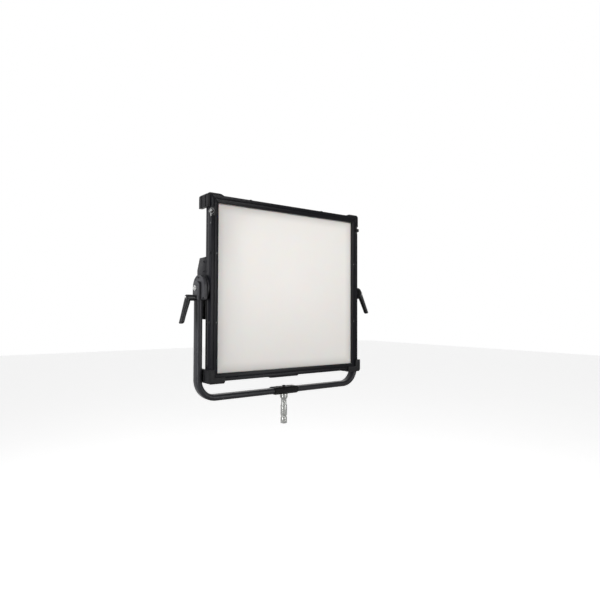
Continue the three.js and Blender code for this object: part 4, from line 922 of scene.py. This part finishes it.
def add_controls():
    refined("control_panel", FINISH["plastic"], 0.35 * MM)
    refined("connector_panel", FINISH["plastic"], 0.35 * MM)
    refined("display_window", FINISH["glass"], 0.3 * MM)
    for node in ("menu_knob", "dimmer_knob"):
        add_knob(node)
    for node in ("first_button", "second_button", "third_button"):
        refined(node, FINISH["rubber"], 0.8 * MM, 3)
    refined("power_rocker", FINISH["plastic"], 0.5 * MM)
    refined("ethernet_socket", FINISH["steel"], 0.3 * MM)
    add_round_socket("dmx_input", 8.5 * MM, 5, FINISH["black_steel"])
    add_round_socket("dmx_output", 8.5 * MM, 5, FINISH["black_steel"])
    add_round_socket("power_inlet", 9.5 * MM, 3, FINISH["plastic"])
    add_contacts()
    add_panel_screws()
    add_scale_marks()


def add_knob(node):
    low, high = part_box(node)
    centre = middle(node)
    place = facing((centre.x, PANEL_REAR, centre.z), Y_AXIS)
    radius, height = (high.x - low.x) / 2, high.y - PANEL_REAR
    behind = low.y - PANEL_REAR
    profile = rounded([
        (0, behind), (3 * MM, behind), (3 * MM, MM), (radius, MM), (radius, 3.4 * MM),
        (0.86 * radius, 4.4 * MM), (0.82 * radius, height - 0.6 * MM), (0.6 * radius, height - 0.6 * MM),
        (0.5 * radius, height - 1.2 * MM), (0, height - 1.2 * MM),
    ], 0.8 * MM, 3)
    knob = built(f"{node}_fluted", revolve, profile, place, 144, fluted(24, 0.8 * MM, 3.5 * MM))
    stands_for(knob, node, FINISH["plastic"])
    spot = (centre.x, PANEL_REAR + height - 0.8 * MM, centre.z + 0.68 * radius)
    pointer = built(f"{node}_pointer", prism, rectangle(1.2 * MM, 4.4 * MM, 0.5 * MM),
                    framed(spot, X_AXIS, Y_AXIS), -0.6 * MM, 0.5 * MM)
    trim(pointer, node, FINISH["mark"])


def add_round_socket(node, hollow, pins, finish):
    """Chassis socket: flange, ring, blind hole and contact pins."""
    low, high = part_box(node)
    centre = middle(node)
    place = facing((centre.x, PANEL_REAR, centre.z), Y_AXIS)
    back, face = low.y - PANEL_REAR, high.y - PANEL_REAR
    barrel = (high.x - low.x) / 2
    floor = back + 3 * MM
    bm = bmesh.new()
    ring = rounded([
        (0, floor), (hollow, floor), (hollow, face), (barrel - 0.6 * MM, face),
        (barrel - 0.2 * MM, face - 0.8 * MM), (barrel - 0.2 * MM, back), (0, back),
    ], 0.4 * MM, 2)
    revolve(bm, ring, place, 56)
    flange_holes = rectangle(2 * barrel - 0.4 * MM, high.z - low.z - 0.4 * MM, 3 * MM)
    outer = [bm.verts.new(place @ Vector((p[0], -p[1], 0.3 * MM))) for p in flange_holes]
    rim = [bm.verts.new(v.co + Y_AXIS * (face - 0.9 * MM)) for v in outer]
    count = len(outer)
    clear = hollow + 1.4 * MM
    inner_low = []
    inner_high = []
    for p in flange_holes:
        angle = math.atan2(-p[1], p[0])
        spot = Vector((clear * math.cos(angle), clear * math.sin(angle), 0.3 * MM))
        inner_low.append(bm.verts.new(place @ spot))
        inner_high.append(bm.verts.new(inner_low[-1].co + Y_AXIS * (face - 0.9 * MM)))
    for k in range(count):
        n = (k + 1) % count
        bm.faces.new((outer[k], outer[n], rim[n], rim[k]))
        bm.faces.new((rim[k], rim[n], inner_high[n], inner_high[k]))
        bm.faces.new((inner_high[k], inner_high[n], inner_low[n], inner_low[k]))
        bm.faces.new((inner_low[k], inner_low[n], outer[n], outer[k]))
    stands_for(object_from(bm, f"{node}_socket"), node, finish)
    bm = bmesh.new()
    for k in range(pins):
        angle = math.radians(90 + 360 * (k + 0.5) / pins)
        spot = place @ Vector((0.55 * hollow * math.cos(angle), 0.55 * hollow * math.sin(angle), floor))
        pin = rounded([(0, -0.5 * MM), (1.1 * MM, -0.5 * MM), (1.1 * MM, 8 * MM), (0, 9 * MM)], 0.6 * MM, 3)
        revolve(bm, pin, facing(spot, Y_AXIS), 16)
    trim(object_from(bm, f"{node}_pins"), node, FINISH["brass"])


def add_contacts():
    """Row of spring contacts in the network socket."""
    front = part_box("ethernet_socket")[0].y
    centre = middle("ethernet_socket")
    bm = bmesh.new()
    for k in range(8):
        x = centre.x + (k - 3.5) * 1.1 * MM
        place = framed((x, front + 3.2 * MM, centre.z + 3.6 * MM), X_AXIS, Y_AXIS)
        prism(bm, rectangle(0.5 * MM, 0.9 * MM), place, 0, 11 * MM)
    trim(object_from(bm, "ethernet_contacts"), "ethernet_socket", FINISH["brass"])


def add_panel_screws():
    bm = bmesh.new()
    for node in ("control_panel", "connector_panel"):
        low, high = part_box(node)
        inset = 5.5 * MM
        for x in (low.x + inset, high.x - inset):
            for z in (low.z + inset, high.z - inset):
                socket_screw(bm, facing((x, PANEL_REAR, z), Y_AXIS), 2.6 * MM, 1.5 * MM)
    for node in ("dmx_input", "dmx_output", "power_inlet"):
        low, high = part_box(node)
        for x, z in ((low.x + 3 * MM, high.z - 3 * MM), (high.x - 3 * MM, low.z + 3 * MM)):
            dome_screw(bm, facing((x, high.y - 0.7 * MM, z), Y_AXIS), 1.7 * MM, 0.7 * MM)
    trim(object_from(bm, "panel_screws"), "control_panel", FINISH["steel"])


def add_scale_marks():
    """Plain tick marks round the knobs and lines under the sockets and buttons."""
    bm = bmesh.new()
    tick = 0.12 * MM
    for node in ("menu_knob", "dimmer_knob"):
        centre = middle(node)
        for k in range(11):
            angle = math.radians(225 - 27 * k)
            out = Vector((math.cos(angle), 0, math.sin(angle)))
            spot = Vector((centre.x, PANEL_REAR, centre.z)) + out * 15 * MM
            prism(bm, rectangle(0.5 * MM, 2.2 * MM), framed(spot, out.cross(Y_AXIS), Y_AXIS), -tick, tick)
    for node in ("first_button", "second_button", "third_button"):
        centre = middle(node)
        spot = (centre.x, PANEL_REAR, centre.z - 7.6 * MM)
        prism(bm, rectangle(8 * MM, 0.6 * MM), framed(spot, X_AXIS, Y_AXIS), -tick, tick)
    for node in ("dmx_input", "dmx_output", "power_inlet", "ethernet_socket", "power_rocker"):
        centre = middle(node)
        spot = (centre.x, PANEL_REAR, centre.z - 20 * MM)
        prism(bm, rectangle(14 * MM, 0.7 * MM), framed(spot, X_AXIS, Y_AXIS), -tick, tick)
    trim(object_from(bm, "panel_marks"), "control_panel", FINISH["mark"])


# ------------------------------------------------------------------ stage, light and camera

BACKDROP = (0.60, 0.80, 0.0)      # direction of the white backdrop, behind the lamp
FLOOR_Z = -1.2                    # the lamp hangs at working height on a stand that isn't part of it


def add_stage():
    bm = bmesh.new()
    prism(bm, rectangle(40, 40), Matrix.Translation((0, 0, FLOOR_Z)), -0.02, 0)
    floor = object_from(bm, "floor")
    pale = surface("pale_floor", (0.93, 0.93, 0.93), 0.8, vary=0.01, cloud=1.0, grain=40.0)
    floor.data.materials.append(pale)
    shader = floor.data.materials[0].node_tree.nodes["Principled BSDF"]
    shader.inputs["Emission Color"].default_value = (1, 1, 1, 1)
    shader.inputs["Emission Strength"].default_value = 0.6
    floor.visible_diffuse = False
    floor.visible_glossy = False


def add_world():
    world = bpy.data.worlds.new("studio")
    bpy.context.scene.world = world
    world.use_nodes = True
    tree = world.node_tree
    shown = tree.nodes["Background"]
    shown.inputs["Color"].default_value = (1, 1, 1, 1)
    shown.inputs["Strength"].default_value = 1.0
    cast = tree.nodes.new("ShaderNodeBackground")
    cast.inputs["Color"].default_value = (1, 1, 1, 1)
    where = tree.nodes.new("ShaderNodeTexCoord").outputs["Generated"]
    along = tree.nodes.new("ShaderNodeVectorMath")
    along.operation = "DOT_PRODUCT"
    along.inputs[1].default_value = BACKDROP
    tree.links.new(where, along.inputs[0])
    tree.links.new(spread(tree, along.outputs["Value"], 0.18, 1.0, 0.36, 0.9), cast.inputs["Strength"])
    rays = tree.nodes.new("ShaderNodeLightPath")
    mix = tree.nodes.new("ShaderNodeMixShader")
    tree.links.new(rays.outputs["Is Camera Ray"], mix.inputs[0])
    tree.links.new(cast.outputs[0], mix.inputs[1])
    tree.links.new(shown.outputs[0], mix.inputs[2])
    tree.links.new(mix.outputs[0], tree.nodes["World Output"].inputs["Surface"])


def add_softbox(name, location, target, width, height, power, mirrored=False):
    light = bpy.data.lights.new(name, "AREA")
    light.shape = "RECTANGLE"
    light.size, light.size_y = width, height
    light.energy = power
    box = bpy.data.objects.new(name, light)
    box.location = location
    box.rotation_euler = (Vector(target) - Vector(location)).to_track_quat("-Z", "Y").to_euler()
    box.visible_glossy = mirrored
    bpy.context.scene.collection.objects.link(box)


def add_lights():
    target = (0, 0, PIVOT_Z)
    add_softbox("key", (0.6, -3.2, 1.0), target, 1.6, 1.6, 76)
    add_softbox("sheen", (0.95, -2.9, 0.6), target, 0.9, 2.2, 13, True)
    add_softbox("side", (-2.8, 0.25, 0.9), target, 1.2, 2.0, 150)
    add_softbox("strip", (-2.4, -0.6, 0.5), target, 0.35, 1.8, 9, True)
    add_softbox("top", (-0.4, 0.2, 3.0), target, 2.4, 2.0, 20)


CAMERA_PLACE = Vector((-1.1725, -1.6797, 0.4496))
CAMERA_AZIMUTH = math.radians(-36.73)
CAMERA_ELEVATION = math.radians(-1.45)
CAMERA_ROLL = math.radians(0.18)
CAMERA_LENS = 29.94               # millimetres, on a sensor 36 mm wide


def add_camera():
    azimuth, elevation, roll = CAMERA_AZIMUTH, CAMERA_ELEVATION, CAMERA_ROLL
    ahead = Vector((-math.sin(azimuth) * math.cos(elevation), math.cos(azimuth) * math.cos(elevation),
                    -math.sin(elevation)))
    right = Vector((math.cos(azimuth), math.sin(azimuth), 0))
    up = right.cross(ahead)
    across = right * math.cos(roll) + up * math.sin(roll)
    upward = up * math.cos(roll) - right * math.sin(roll)
    camera = bpy.data.cameras.new("camera")
    camera.sensor_width = 36
    camera.lens = CAMERA_LENS
    camera.clip_start = 0.01
    holder = bpy.data.objects.new("camera", camera)
    bpy.context.scene.collection.objects.link(holder)
    place = Matrix((across, upward, -ahead)).transposed().to_4x4()
    place.translation = CAMERA_PLACE
    holder.matrix_world = place
    bpy.context.scene.camera = holder


# ------------------------------------------------------------------ assembly

add_camera()
add_yoke()
for side_name in SIDES:
    add_lever(side_name)
    add_lock(side_name)
add_frame()
add_pivots()
add_rear()
add_controls()
add_stage()
add_world()
add_lights()
bpy.context.scene.view_settings.view_transform = "Standard"
